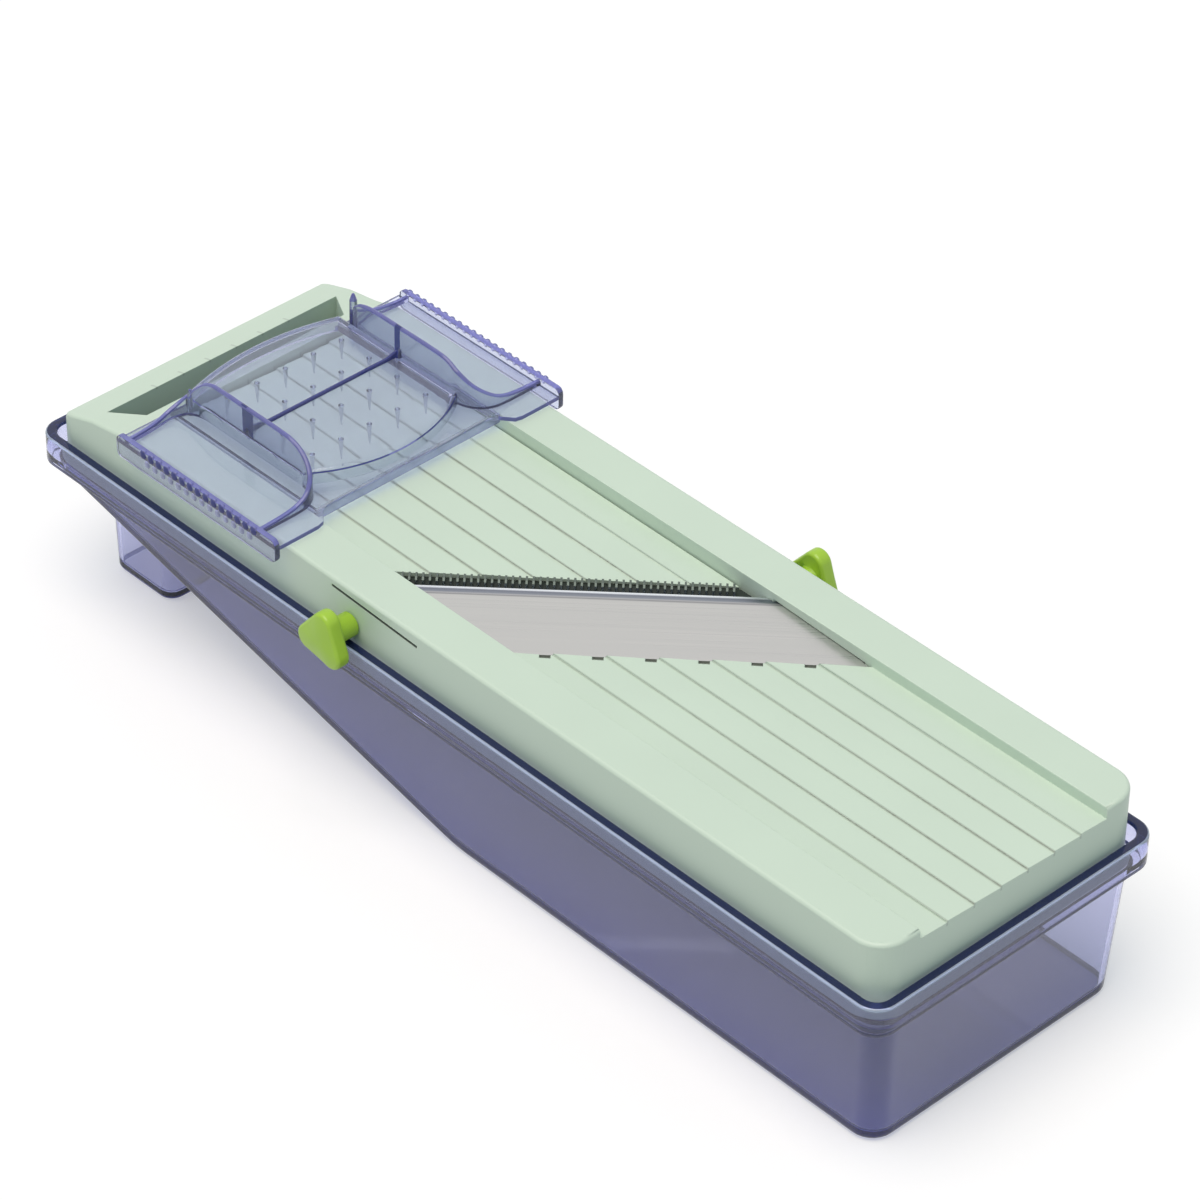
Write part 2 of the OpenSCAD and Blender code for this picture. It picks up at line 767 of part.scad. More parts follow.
// Outline of the raised palm plateau: a shallow arc behind and a tighter one in front
module plateau(grow, low, high) {
  intersection() {
    translate([holder_x + plateau_front - plateau_front_r, 0, low])
      cylinder(r = plateau_front_r + grow, h = high - low);
    translate([holder_x - plateau_back + plateau_back_r, 0, low])
      cylinder(r = plateau_back_r + grow, h = high - low);
    box([holder_x - holder_len, -palm_gap / 2 - grow, low],
      [holder_x + holder_len, palm_gap / 2 + grow, high]);
  }
}

module food_holder() {
  half = holder_len / 2;
  wide = holder_wid / 2;
  guide = half_channel - slide_gap;
  rib_x = holder_x - 10;
  apron_x = holder_x + half - set_back - holder_t;
  color("slateblue", 0.6) {
    difference() {
      union() {
        // Flat plate over the rails, set back where it crosses the channel
        box([holder_x - half, -wide, wing_low], [holder_x + half, wide, wing_top]);
        plateau(0, wing_low, plateau_top);
        // Side grips
        for (y = [-wide, wide - grip_t])
          box([holder_x - half, y, grip_top - grip_tall], [holder_x + half, y + grip_t, grip_top]);
        // Guides that run between the rails, and the apron across the channel
        for (y = [-guide, guide - holder_t])
          box([holder_x - half + 2, y, apron_low], [apron_x + holder_t, y + holder_t, wing_top]);
        box([apron_x, -guide, apron_low], [apron_x + holder_t, guide, wing_top]);
      }
      plateau(-holder_t, 0, plateau_top - holder_t);
      box([holder_x + half - set_back, -half_channel + 3, 0],
        [holder_x + half + 1, half_channel - 3, rail_top * 2]);
    }
    for (side = [-1, 1]) palm_wall(side);
    // Rib across the plateau
    box([rib_x, -palm_gap / 2 - 0.5, plateau_top - 1],
      [rib_x + holder_t, palm_gap / 2 + 0.5, plateau_top + 2]);
    // Spikes below the plateau that grip the food
    for (i = [-1.5 : 1 : 1.5], j = [0 : spikes - 1])
      translate([holder_x - 8 + i * spike_gap, (j - (spikes - 1) / 2) * (spike_gap - 2), spike_low])
        cylinder(r1 = 0.5, r2 = 1.6, h = plateau_top - holder_t - spike_low + 0.5);
  }
}

catch_tray();
slicer_body();
infeed_plate();
hinge_rod();
main_blade();
blade_studs();
blade_washers();
blade_nuts();
comb_bar();
comb_teeth();
near_knob();
near_stud();
near_insert();
far_knob();
far_stud();
far_insert();
bridge_bar();
bridge_screws();
bridge_insert();
adjuster_screw();
adjuster_knob();
adjuster_knob_screw();
food_holder();
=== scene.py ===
"""Mandoline slicer in its catch tray: the looks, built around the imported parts."""

import math

import bmesh
import bpy
from bpy.props import FloatProperty, FloatVectorProperty, PointerProperty
from mathutils import Matrix, Vector


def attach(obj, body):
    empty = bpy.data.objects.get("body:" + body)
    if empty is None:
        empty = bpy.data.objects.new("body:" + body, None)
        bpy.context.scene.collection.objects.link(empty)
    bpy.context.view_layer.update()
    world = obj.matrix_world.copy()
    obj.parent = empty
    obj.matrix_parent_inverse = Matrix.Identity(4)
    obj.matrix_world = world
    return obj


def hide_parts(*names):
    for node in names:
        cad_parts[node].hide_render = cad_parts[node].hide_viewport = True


bl_info = {
    "name": "Mandoline Slicer",
    "version": (1, 0, 0),
    "blender": (4, 5, 0),
    "location": "3D View > Sidebar > Slicer",
    "description": "Builds a mandoline slicer with its catch tray, food holder and stage",
    "category": "Add Mesh",
}

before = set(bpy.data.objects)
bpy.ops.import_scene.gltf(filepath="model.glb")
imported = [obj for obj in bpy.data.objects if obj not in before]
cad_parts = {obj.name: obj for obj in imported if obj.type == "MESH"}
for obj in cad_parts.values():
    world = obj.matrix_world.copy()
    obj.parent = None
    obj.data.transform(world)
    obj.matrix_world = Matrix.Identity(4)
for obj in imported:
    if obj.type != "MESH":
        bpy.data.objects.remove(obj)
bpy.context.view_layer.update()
MM = 0.001


# ---- Colour and node helpers ----

def linear(code):
    """Linear RGBA of an sRGB hex colour."""
    parts = [int(code[i:i + 2], 16) / 255 for i in (1, 3, 5)]
    return tuple(c / 12.92 if c <= 0.04045 else ((c + 0.055) / 1.055) ** 2.4 for c in parts) + (1.0,)


# What the names of the nodes start with, by the kind of tree
NODE_FAMILY = {"SHADER": "ShaderNode", "GEOMETRY": "GeometryNode"}


def add(tree, kind, inputs=None, **settings):
    """Adds one node with its settings, and fills or links its inputs; a node links by its first output."""
    node = tree.nodes.new(kind if kind.startswith("NodeGroup") else NODE_FAMILY[tree.type] + kind)
    for key, value in settings.items():
        setattr(node, key, value)
    for key, value in (inputs or {}).items():
        if isinstance(value, bpy.types.Node):
            value = value.outputs[0]
        if isinstance(value, bpy.types.NodeSocket):
            tree.links.new(value, node.inputs[key])
        else:
            node.inputs[key].default_value = value
    return node


def colour_prop(name, description, code):
    return FloatVectorProperty(name=name, description=description, subtype="COLOR", size=4,
                               min=0.0, max=1.0, default=linear(code))


def number_prop(name, description, value, **limits):
    return FloatProperty(name=name, description=description, default=value, **limits)


def size_prop(name, description, value):
    return number_prop(name, description, value * MM, subtype="DISTANCE", unit="LENGTH", min=0.0)


# ---- Sizes and colours that a user would change ----

def clear_props(tint, skin, haze, grained, corner, bright, shadow):
    """Settings that a clear piece has for its plastic and for each kind of face."""
    return {
        "tint": colour_prop("Tint", "Colour that the clear plastic lets through", tint),
        "skin": colour_prop("Skin", "Colour that each polished face lets through", skin),
        "haze": number_prop("Haze", "Share of light that the plastic scatters", haze, max=1.0),
        # Grained is a violet tone, painted shade on the tray's underside; corner is a dark tone of painted
        # shade and deep plastic; bright is a painted highlight on rounded edges
        "grained": colour_prop("Grained", "Tone of grained faces and upright edges", grained),
        "corner": colour_prop("Corner", "Tone of edges where the plastic is deep", corner),
        "bright": colour_prop("Bright", "Tone of rounded edges that gather light", bright),
        "shadow": colour_prop("Shadow", "Colour of the lamps' light behind one face", shadow),
        "depth": number_prop("Depth of tint", "How fast the plastic darkens, per metre", 150.0, min=0.0),
    }


class TraySettings(bpy.types.PropertyGroup):
    """Catch tray"""
    floor_round: size_prop("Floor rounding", "Radius where the walls meet the floor", 3.0)
    rim_round: size_prop("Rim rounding", "Radius along the top of the rim", 1.1)
    ledge_round: size_prop("Ledge rounding", "Radius where the ledge turns down into the well", 0.7)
    __annotations__.update(clear_props(
        "#ACB0E2", "#ECEDF5", 0.04, grained="#5860C0", corner="#222C58", bright="#D2E2F4", shadow="#AAAEDA"))


class BodySettings(bpy.types.PropertyGroup):
    """Slicer body and infeed plate"""
    top_round: size_prop("Top rounding", "Radius along the outer top edge of the body", 1.6)
    edge_round: size_prop("Edge rounding", "Radius of all other moulded edges", 0.3)
    mint: colour_prop("Mint", "Colour of the body and the plates", "#CDDECC")


class MetalSettings(bpy.types.PropertyGroup):
    """Blade, comb and fasteners"""
    blade: colour_prop("Blade", "Colour of the ground stainless steel", "#BEBEBC")
    bright: colour_prop("Bright steel", "Colour of the turned and rolled steel parts", "#C8C8C8")
    brass: colour_prop("Brass", "Colour of the turned brass parts", "#D6B878")
    comb: colour_prop("Comb bar", "Colour of the plastic bar that holds the comb", "#1C2822")
    teeth: colour_prop("Comb teeth", "Colour of the stamped steel teeth", "#66706A")
    grind: size_prop("Grinding marks", "Distance between the grinding marks on the blade", 0.5)


class KnobSettings(bpy.types.PropertyGroup):
    """Side knobs and adjuster knob"""
    edge: size_prop("Edge rounding", "Radius round the heads", 1.5)
    dome: size_prop("Dome", "Rise of the middle of a head", 0.9)
    lime: colour_prop("Lime", "Colour of the knobs", "#A4CC38")


class HolderSettings(bpy.types.PropertyGroup):
    """Food holder"""
    bump_pitch: size_prop("Bump pitch", "Distance between two grip bumps", 4.5)
    __annotations__.update(clear_props(
        "#B2B2E4", "#E4E9EE", 0.07, grained="#8486CC", corner="#3C4488", bright="#C0C6E6", shadow="#EAEDF3"))


class StageSettings(bpy.types.PropertyGroup):
    """Floor, backdrop, lamps and camera"""
    floor: colour_prop("Floor", "Colour of the floor", "#D4D4D4")
    floor_through: colour_prop("Floor through plastic", "Colour of the floor behind clear plastic", "#FCFCFC")
    azimuth: number_prop("Azimuth", "Direction of the camera round the slicer", math.radians(46.19),
                         subtype="ANGLE")
    elevation: number_prop("Elevation", "Height of the camera above the horizon", math.radians(38.05),
                           subtype="ANGLE")
    roll: number_prop("Roll", "Turn of the camera about its own axis", math.radians(0.89), subtype="ANGLE")
    distance: size_prop("Distance", "From the camera to the point that it looks at", 1908.3)
    lens: number_prop("Lens", "Focal length of the camera", 154.084, subtype="DISTANCE_CAMERA")
    sky: number_prop("Sky", "Strength of the light from all round", 0.38)
    sky_tone: colour_prop("Sky tone", "Tone of the light from all round", "#D8F3FF")
    key_tone: colour_prop("Key tone", "Tone of the key lamp", "#FFF3EC")
    key: number_prop("Key", "Strength of the soft key lamp", 2.3)


class SlicerSettings(bpy.types.PropertyGroup):
    """All settings of the slicer"""
    tray: PointerProperty(type=TraySettings)
    body: PointerProperty(type=BodySettings)
    metal: PointerProperty(type=MetalSettings)
    knob: PointerProperty(type=KnobSettings)
    holder: PointerProperty(type=HolderSettings)
    stage: PointerProperty(type=StageSettings)


def settings():
    return bpy.context.scene.slicer_settings


# ---- Materials ----

# Where nearly all values of a noise lie
NOISE_SPAN = {"From Min": 0.3, "From Max": 0.7}
# Direction across the blade, from its cutting edge towards the outfeed end
ACROSS_BLADE = (0.69717, -0.71691, 0.0)
# Width of the food channel in millimetres, and the number of stripes across it
CHANNEL, STRIPES = 92, 7
# How much the painted shade darkens the risers between the stripes and the hollows round the blade
RISER_SHADE, HOLLOW_SHADE = 0.22, 0.75
# Kinds of face on the clear pieces, and how far below its number each kind starts on a colour ramp
# The violet and dark kinds partly stand for painted shade, and the last kind is a painted highlight
POLISHED, VIOLET_AND_SHADED, DEEP_AND_SHADED, PAINTED_HIGHLIGHT = 0.0, 0.3, 0.6, 0.9
KIND_MARGIN = 0.1


def new_material(name, build):
    """The material of that name; build(tree) adds its nodes once and returns what the output takes."""
    made = bpy.data.materials.get(name)
    if made is None:
        made = bpy.data.materials.new(name)
        made.use_nodes = True
        made.node_tree.nodes.clear()
        add(made.node_tree, "OutputMaterial", build(made.node_tree))
    return made


def fill_ramp(ramp, stops):
    """Gives a new colour ramp its stops, each a place and a colour, from low to high."""
    for element, (place, colour) in zip(ramp.elements, (stops[0], stops[-1])):
        element.position, element.color = place, colour
    for place, colour in stops[1:-1]:
        ramp.elements.new(place).color = colour


def moulded_plastic(name, colour, roughness, grain, depth, painted_shade=None):
    """Opaque plastic with a faint sparked grain from its mould and slightly uneven gloss."""
    def build(tree):
        place = add(tree, "TexCoord").outputs["Object"]
        fine = add(tree, "TexNoise", {"Vector": place, "Scale": 1 / grain, "Detail": 3.0, "Roughness": 0.6})
        cloudy = add(tree, "TexNoise", {"Vector": place, "Scale": 22.0, "Detail": 2.0})
        tone = add(tree, "MapRange", {"Value": cloudy, **NOISE_SPAN, "To Min": 0.985, "To Max": 1.015})
        shade = add(tree, "VectorMath", {0: colour[:3], "Scale": tone}, operation="SCALE")
        # Painted shade, where a material is given it, darkens its colour in places
        if painted_shade:
            shade = add(tree, "VectorMath", {0: shade, "Scale": painted_shade(tree, place)}, operation="SCALE")
        gloss = add(tree, "MapRange",
                    {"Value": cloudy, **NOISE_SPAN, "To Min": roughness - 0.04, "To Max": roughness + 0.05})
        bump = add(tree, "Bump", {"Height": fine, "Strength": 0.5, "Distance": depth})
        shader = add(tree, "BsdfPrincipled",
                     {"Base Color": shade, "Roughness": gloss, "IOR": 1.53, "Normal": bump})
        return {"Surface": shader}
    return new_material(name, build)


def painted_crease_shade(tree, place):
    """Painted shade on the low risers between the stripes, in the slot of the near wall and in the hollows
    round the blade.
    """
    at = add(tree, "SeparateXYZ", {"Vector": place}).outputs
    share = add(tree, "Math", {0: at["Y"], 1: STRIPES / (CHANNEL * MM), 2: STRIPES / 2},
                operation="MULTIPLY_ADD")
    part = add(tree, "Math", {0: share, 1: 0.5}, operation="PINGPONG")
    near = add(tree, "MapRange",
               {"Value": part, "From Min": 0.018, "From Max": 0.045, "To Min": 1.0, "To Max": 0.0})
    inside = add(tree, "Math", {0: at["Y"], 1: 0.0, 2: 40 * MM}, operation="COMPARE")
    deck = add(tree, "Math", {0: at["Z"], 1: 87.4 * MM, 2: 1.5 * MM}, operation="COMPARE")
    here = add(tree, "Math", {0: inside, 1: deck}, operation="MULTIPLY")
    line = add(tree, "Math", {0: here, 1: near}, operation="MULTIPLY")
    dim = add(tree, "Math", {0: line, 1: -RISER_SHADE, 2: 1.0}, operation="MULTIPLY_ADD")
    across = add(tree, "VectorMath", {0: place, 1: ACROSS_BLADE}, operation="DOT_PRODUCT").outputs["Value"]
    channel = (at["Y"], 0.0, 45.5)
    # Middle and reach, in millimetres, of the places given painted shade: the slot in the near wall, the
    # pockets behind the blade and the edge before the comb
    zones = (((at["Y"], -64.25, 0.62), (at["Z"], 83.4, 5.2), (at["X"], -34.0, 25.0)),
             ((across, 42.6, 2.2), (at["Z"], 84.9, 1.6), channel),
             ((across, -5.0, 3.0), (at["Z"], 82.4, 2.4), channel))
    total = 0.0
    for zone in zones:
        marks = [add(tree, "Math", {0: value, 1: middle * MM, 2: reach * MM}, operation="COMPARE")
                 for value, middle, reach in zone]
        pair = add(tree, "Math", {0: marks[0], 1: marks[1]}, operation="MULTIPLY")
        total = add(tree, "Math", {0: pair, 1: marks[2], 2: total}, operation="MULTIPLY_ADD", use_clamp=True)
    return add(tree, "Math", {0: total, 1: -HOLLOW_SHADE, 2: dim}, operation="MULTIPLY_ADD")


def mint_abs():
    # Moulded ABS, a soft sheen with a grain that is drawn 0.9 mm coarse so that it shows, and painted shade
    # in its creases
    return moulded_plastic("mint_moulded_ABS", settings().body.mint, 0.42, 0.9 * MM, 0.02 * MM, painted_crease_shade)


def lime_abs():
    # Moulded ABS, a little glossier than the body, as small polished moulds give
    return moulded_plastic("lime_moulded_ABS", settings().knob.lime, 0.32, 0.7 * MM, 0.02 * MM)


def dark_nylon():
    # Moulded glass-filled nylon, dull and almost black green
    return moulded_plastic("dark_moulded_nylon", settings().metal.comb, 0.5, 0.5 * MM, 0.03 * MM)


def clear_san(name, look):
    """Clear tinted styrene-acrylonitrile, polished by its mould: see-through, darker where it is deep, with
    painted shade and painted highlights on some kinds of face.
    """
    def build(tree):
        place = add(tree, "TexCoord").outputs["Object"]
        flow = add(tree, "TexNoise", {"Vector": place, "Scale": 60.0, "Detail": 1.0})
        bump = add(tree, "Bump", {"Height": flow, "Strength": 0.12, "Distance": 0.2 * MM})
        # Each face is polished, violet, dark or bright, and lets through its own share of light: the violet
        # and dark tones carry painted shade in places, the bright tone is a painted highlight
        kind = add(tree, "Attribute", attribute_name="face_kind").outputs["Fac"]
        tones = add(tree, "ValToRGB", {"Fac": kind})
        tones.color_ramp.interpolation = "CONSTANT"
        kinds = ((POLISHED, look.skin, 1.0 - look.haze), (VIOLET_AND_SHADED, look.grained, 0.45),
                 (DEEP_AND_SHADED, look.corner, 0.30), (PAINTED_HIGHLIGHT, look.bright, 0.55))
        fill_ramp(tones.color_ramp, [(max(first - KIND_MARGIN, 0.0), tone[:3] + (clear,))
                                     for first, tone, clear in kinds])
        shader = add(tree, "BsdfPrincipled",
                     {"Base Color": tones, "Roughness": 0.03, "IOR": 1.45,
                      "Transmission Weight": tones.outputs["Alpha"], "Normal": bump})
        # Lamps shine through the clear walls, weakened by the tint, so the inside is lit
        path = add(tree, "LightPath")
        open_way = add(tree, "BsdfTransparent", {"Color": look.shadow})
        mix = add(tree, "MixShader", {0: path.outputs["Is Shadow Ray"], 1: shader, 2: open_way})
        tinted = add(tree, "VolumeAbsorption", {"Color": look.tint, "Density": look.depth})
        return {"Surface": mix, "Volume": tinted}
    return new_material(name, build)


def tooled_metal(tree, colour, marks, gloss, strength, depth):
    """Surface of a metal whose gloss and relief follow the marks of its tool."""
    spread = add(tree, "MapRange", {"Value": marks, **NOISE_SPAN, "To Min": gloss[0], "To Max": gloss[1]})
    bump = add(tree, "Bump", {"Height": marks, "Strength": strength, "Distance": depth})
    return {"Surface": add(tree, "BsdfPrincipled",
                           {"Base Color": colour, "Metallic": 1.0, "Roughness": spread, "Normal": bump})}


def ground_steel():
    # Stainless steel, ground along the cutting edge: fine parallel marks that spread the gloss across them
    sizes = settings().metal

    def build(tree):
        place = add(tree, "TexCoord").outputs["Object"]
        turned = add(tree, "Mapping", {"Vector": place, "Rotation": (0.0, 0.0, math.radians(-44.2))})
        drawn = add(tree, "VectorMath", {0: turned, 1: (6.0, 1 / sizes.grind, 1 / sizes.grind)},
                    operation="MULTIPLY")
        marks = add(tree, "TexNoise", {"Vector": drawn, "Scale": 1.0, "Detail": 3.0})
        # Distance behind the cutting edge: a painted highlight over the honed bevel, a dark band of painted
        # reflection with a painted light line in it, then the flat of the blade
        behind = add(tree, "VectorMath", {0: place, 1: ACROSS_BLADE}, operation="DOT_PRODUCT")
        waver = add(tree, "Math", {0: marks, 1: 0.5 * MM, 2: behind.outputs["Value"]},
                    operation="MULTIPLY_ADD")
        share = add(tree, "MapRange", {"Value": waver, "From Min": 4.886 * MM, "From Max": 12.886 * MM})
        painted_bands = add(tree, "ValToRGB", {"Fac": share})
        tones = ((0.0, "#E6EAEE"), (0.13, "#E0E4EA"), (0.22, "#787C88"), (0.46, "#8A8E98"), (0.56, "#B0B0B2"),
                 (0.63, "#8C8C8E"))
        fill_ramp(painted_bands.color_ramp, [(at, linear(code)) for at, code in tones] + [(0.72, sizes.blade)])
        # The end of the tang, deep in the slot of the near wall, is painted dark as the slot's shade
        end = add(tree, "SeparateXYZ", {"Vector": place}).outputs["Y"]
        scale = add(tree, "MapRange", {"Value": end, "From Min": -62.6 * MM, "From Max": -61.8 * MM,
                                       "To Min": 0.2, "To Max": 1.0})
        shade = add(tree, "VectorMath", {0: painted_bands, "Scale": scale}, operation="SCALE")
        return tooled_metal(tree, shade, marks, (0.26, 0.42), 0.35, 0.02 * MM)
    return new_material("ground_stainless_steel", build)


def turned_metal(name, colour, roughness):
    """Turned or rolled metal: bright, with fine tool marks and slightly uneven gloss."""
    def build(tree):
        place = add(tree, "TexCoord").outputs["Object"]
        marks = add(tree, "TexNoise", {"Vector": place, "Scale": 1 / (0.4 * MM), "Detail": 2.0})
        return tooled_metal(tree, colour, marks, (roughness - 0.05, roughness + 0.08), 0.2, 0.01 * MM)
    return new_material(name, build)


def stamped_steel():
    # Stainless steel, stamped, given a dull dark tone
    return turned_metal("stamped_dark_stainless_steel", settings().metal.teeth, 0.5)


def bright_steel():
    # Stainless steel, turned or rolled and left bright
    return turned_metal("turned_stainless_steel", settings().metal.bright, 0.28)


def turned_brass():
    # Brass, turned: warm and bright
    return turned_metal("turned_brass", settings().metal.brass, 0.26)


# ---- Mesh helpers ----

def arc(first, last, steps):
    """Angles from one to another, given in degrees and returned in radians."""
    return [math.radians(first + (last - first) * k / steps) for k in range(steps + 1)]


def corner(x, y, radius, first, steps):
    """Points of a quarter circle round (x, y), from a first angle in degrees."""
    return [(x + radius * math.cos(a), y + radius * math.sin(a)) for a in arc(first, first + 90, steps)]


def plain_object(name, points, faces):
    """A closed piece from points in millimetres, with its faces turned outwards."""
    mesh = bpy.data.meshes.new(name)
    mesh.from_pydata([tuple(c * MM for c in p) for p in points], [], faces)
    work = bmesh.new()
    work.from_mesh(mesh)
    bmesh.ops.remove_doubles(work, verts=work.verts, dist=1e-6)
    bmesh.ops.recalc_face_normals(work, faces=work.faces)
    return linked(name, mesh, work)


def linked(name, mesh, work=None):
    """An object of a mesh in the scene; a bmesh, if there is one, is written to the mesh first."""
    if work:
        work.to_mesh(mesh)
        work.free()
    piece = bpy.data.objects.new(name, mesh)
    bpy.context.scene.collection.objects.link(piece)
    return piece


def finish_piece(piece, body, material, smooth_angle, even=False):
    """Shades a piece smooth up to an angle, and gives it its body and finish."""
    piece.data.shade_smooth()
    piece.data.set_sharp_from_angle(angle=math.radians(smooth_angle))
    if even:
        piece.modifiers.new("even", "WEIGHTED_NORMAL").keep_sharp = True
        baked(piece)
    piece.data.materials.clear()
    piece.data.materials.append(material)
    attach(piece, body)
    return piece


def baked(piece):
    """Applies a piece's modifiers to its mesh."""
    bpy.context.view_layer.update()
    graph = bpy.context.evaluated_depsgraph_get()
    mesh = bpy.data.meshes.new_from_object(piece.evaluated_get(graph), depsgraph=graph)
    old = piece.data
    piece.modifiers.clear()
    piece.data = mesh
    mesh.name = piece.name
    bpy.data.meshes.remove(old)
    return piece


def loft(rings, close_ends=True):
    """Points and faces of a skin over rings with the same number of points."""
    count = len(rings[0])
    points = [p for ring in rings for p in ring]
    faces = []
    for k in range(len(rings) - 1):
        for i in range(count):
            j = (i + 1) % count
            faces.append((k * count + i, k * count + j, (k + 1) * count + j, (k + 1) * count + i))
    if close_ends:
        faces += [tuple(first + i for i in range(count)) for first in (0, (len(rings) - 1) * count)]
    return points, faces


def loft_mirrored(rings):
    """Skin over rings with a near and a far half, closed at both ends by strips between the halves."""
    points, faces = loft(rings, close_ends=False)
    count = len(rings[0])
    for first in (0, (len(rings) - 1) * count):
        for i in range(count // 2 - 1):
            faces.append((first + i, first + i + 1, first + count - 2 - i, first + count - 1 - i))
    return points, faces


def mirrored(half):
    """A ring from its near half and the mirror image of that half."""
    return half + [(p[0], -p[1]) + tuple(p[2:]) for p in reversed(half)]


def merged_copy(node, name):
    """A merged copy of a CAD part's mesh, with its flat faces joined."""
    work = bmesh.new()
    work.from_mesh(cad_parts[node].data)
    bmesh.ops.remove_doubles(work, verts=work.verts, dist=2e-6)
    bmesh.ops.dissolve_degenerate(work, edges=work.edges, dist=1e-6)
    bmesh.ops.dissolve_limit(work, angle_limit=math.radians(0.4), verts=work.verts, edges=work.edges)
    return linked(name, bpy.data.meshes.new(name), work)


def soften(piece, width, choose, segments):
    """Rounds the edges that choose() weighs, from 0 to 1, up to a width."""
    work = bmesh.new()
    work.from_mesh(piece.data)
    weights = work.edges.layers.float
    layer = weights.get("bevel_weight_edge") or weights.new("bevel_weight_edge")
    work.normal_update()
    for edge in work.edges:
        edge[layer] = choose(edge) if len(edge.link_faces) == 2 else 0.0
    work.to_mesh(piece.data)
    work.free()
    bevel = piece.modifiers.new("round", "BEVEL")
    bevel.limit_method = "WEIGHT"
    bevel.width = width
    bevel.segments = segments
    bevel.use_clamp_overlap = False
    baked(piece)


def sharp_corner(edge, degrees):
    """Whether two faces meet at an edge at more than an angle."""
    return edge.calc_face_angle(0.0) > math.radians(degrees)


def combine(piece, other, operation):
    """Joins another closed mesh to a piece, or cuts it away, and removes that mesh."""
    step = piece.modifiers.new("combine", "BOOLEAN")
    step.operation = operation
    step.solver = "EXACT"
    step.object = other
    baked(piece)
    mesh = other.data
    bpy.data.objects.remove(other)
    bpy.data.meshes.remove(mesh)


def sort_faces(piece, kind_of):
    """Stores on each face which kind it is, for the clear plastic."""
    mesh = piece.data
    kinds = mesh.attributes.new("face_kind", "FLOAT", "FACE")
    for face, kind in zip(mesh.polygons, kinds.data):
        kind.value = kind_of(face.center / MM, face.normal)


# ---- Catch tray ----

# Half lengths, half widths, heights and radii, in millimetres
RIM_LEN, RIM_WID, RIM_TOP, RIM_LOW = 223.6, 70.2, 70.6, 57.7
# The rim's band, its outer corner, and how far its top widens inwards
RIM_BAND, RIM_CORNER, RIM_LIP = 3.2, 9.0, 1.0
BASE_LEN, BASE_WID, BASE_CORNER = 217.4, 61.8, 10.0
# Thickness of the wall and the floor, and how far the wall leans out between its start and the ledge
WALL, FLOOR, LEAN, LEAN_START, LEDGE, LEDGE_LOW = 2.2, 2.4, 2.9, 3.0, 60.6, 58.4
# The floor bends up at this radius to this slope
SLOPE, SLOPE_START, BEND = math.radians(13), 4.4, 60.0
BEND_END = SLOPE_START + BEND * math.tan(SLOPE / 2)
BEND_START = BEND_END - BEND * math.sin(SLOPE)
# Places along the tray where its rings have a point
ALONG = sorted([-200 + 20 * k for k in range(10)] + [20 * k for k in range(1, 11)]
               + [BEND_START + (BEND_END - BEND_START) * k / 6 for k in range(7)])
# Middle, half length and half width of the foot
FOOT_X, FOOT_LEN, FOOT_WID = -193.5, 17.5, 46.6
# Inset, corner radius and height of each ring round the foot's lower edge
FOOT_EDGE = [(3.0, 4.0, 0.0), (1.4, 5.2, 0.3), (0.5, 5.8, 1.1), (0.0, 6.0, 2.4)]


def tray_floor(x):
    """Height of the underside of the tray's floor at a place along it."""
    if x >= BEND_END:
        return 0.0
    if x <= BEND_START:
        return (SLOPE_START - x) * math.tan(SLOPE)
    return BEND * (1 - math.cos(math.asin((BEND_END - x) / BEND)))


def half_outline(half_len, half_wid, radius):
    """Near half of a round-cornered rectangle, from its low to its high end."""
    low, high = (corner(side * (half_len - radius), -(half_wid - radius), radius, first, 7)
                 for side, first in ((-1, 180), (1, 270)))
    return low + [(x / BASE_LEN * half_len, -half_wid) for x in ALONG] + high


def level_ring(half_len, half_wid, radius, height):
    return mirrored([p + (height,) for p in half_outline(half_len, half_wid, radius)])


def floor_ring(inset, lift, rise):
    """Ring that follows the floor at a rise above it, on walls that lean out with height."""
    radius = max(BASE_CORNER - inset, 1.5)
    points = []
    for i, (x, _) in enumerate(half_outline(BASE_LEN - inset, BASE_WID - inset, radius)):
        lean = LEAN * max(tray_floor(x) + rise - LEAN_START, 0.0) / (LEDGE - LEAN_START)
        wide = half_outline(BASE_LEN - inset + lean, BASE_WID - inset + lean, radius)[i]
        points.append(wide + (tray_floor(wide[0]) + lift + rise,))
    return mirrored(points)


def rounded_rings(size, radius_of, place, start, end, steps):
    """Rings of a rounding between two directions, given in degrees."""
    rings = []
    for turn in arc(start, end, steps):
        out, up = size * math.cos(turn), size * math.sin(turn)
        rings.append(level_ring(place[0] + out, place[1] + out, radius_of + out, place[2] + up))
    return rings


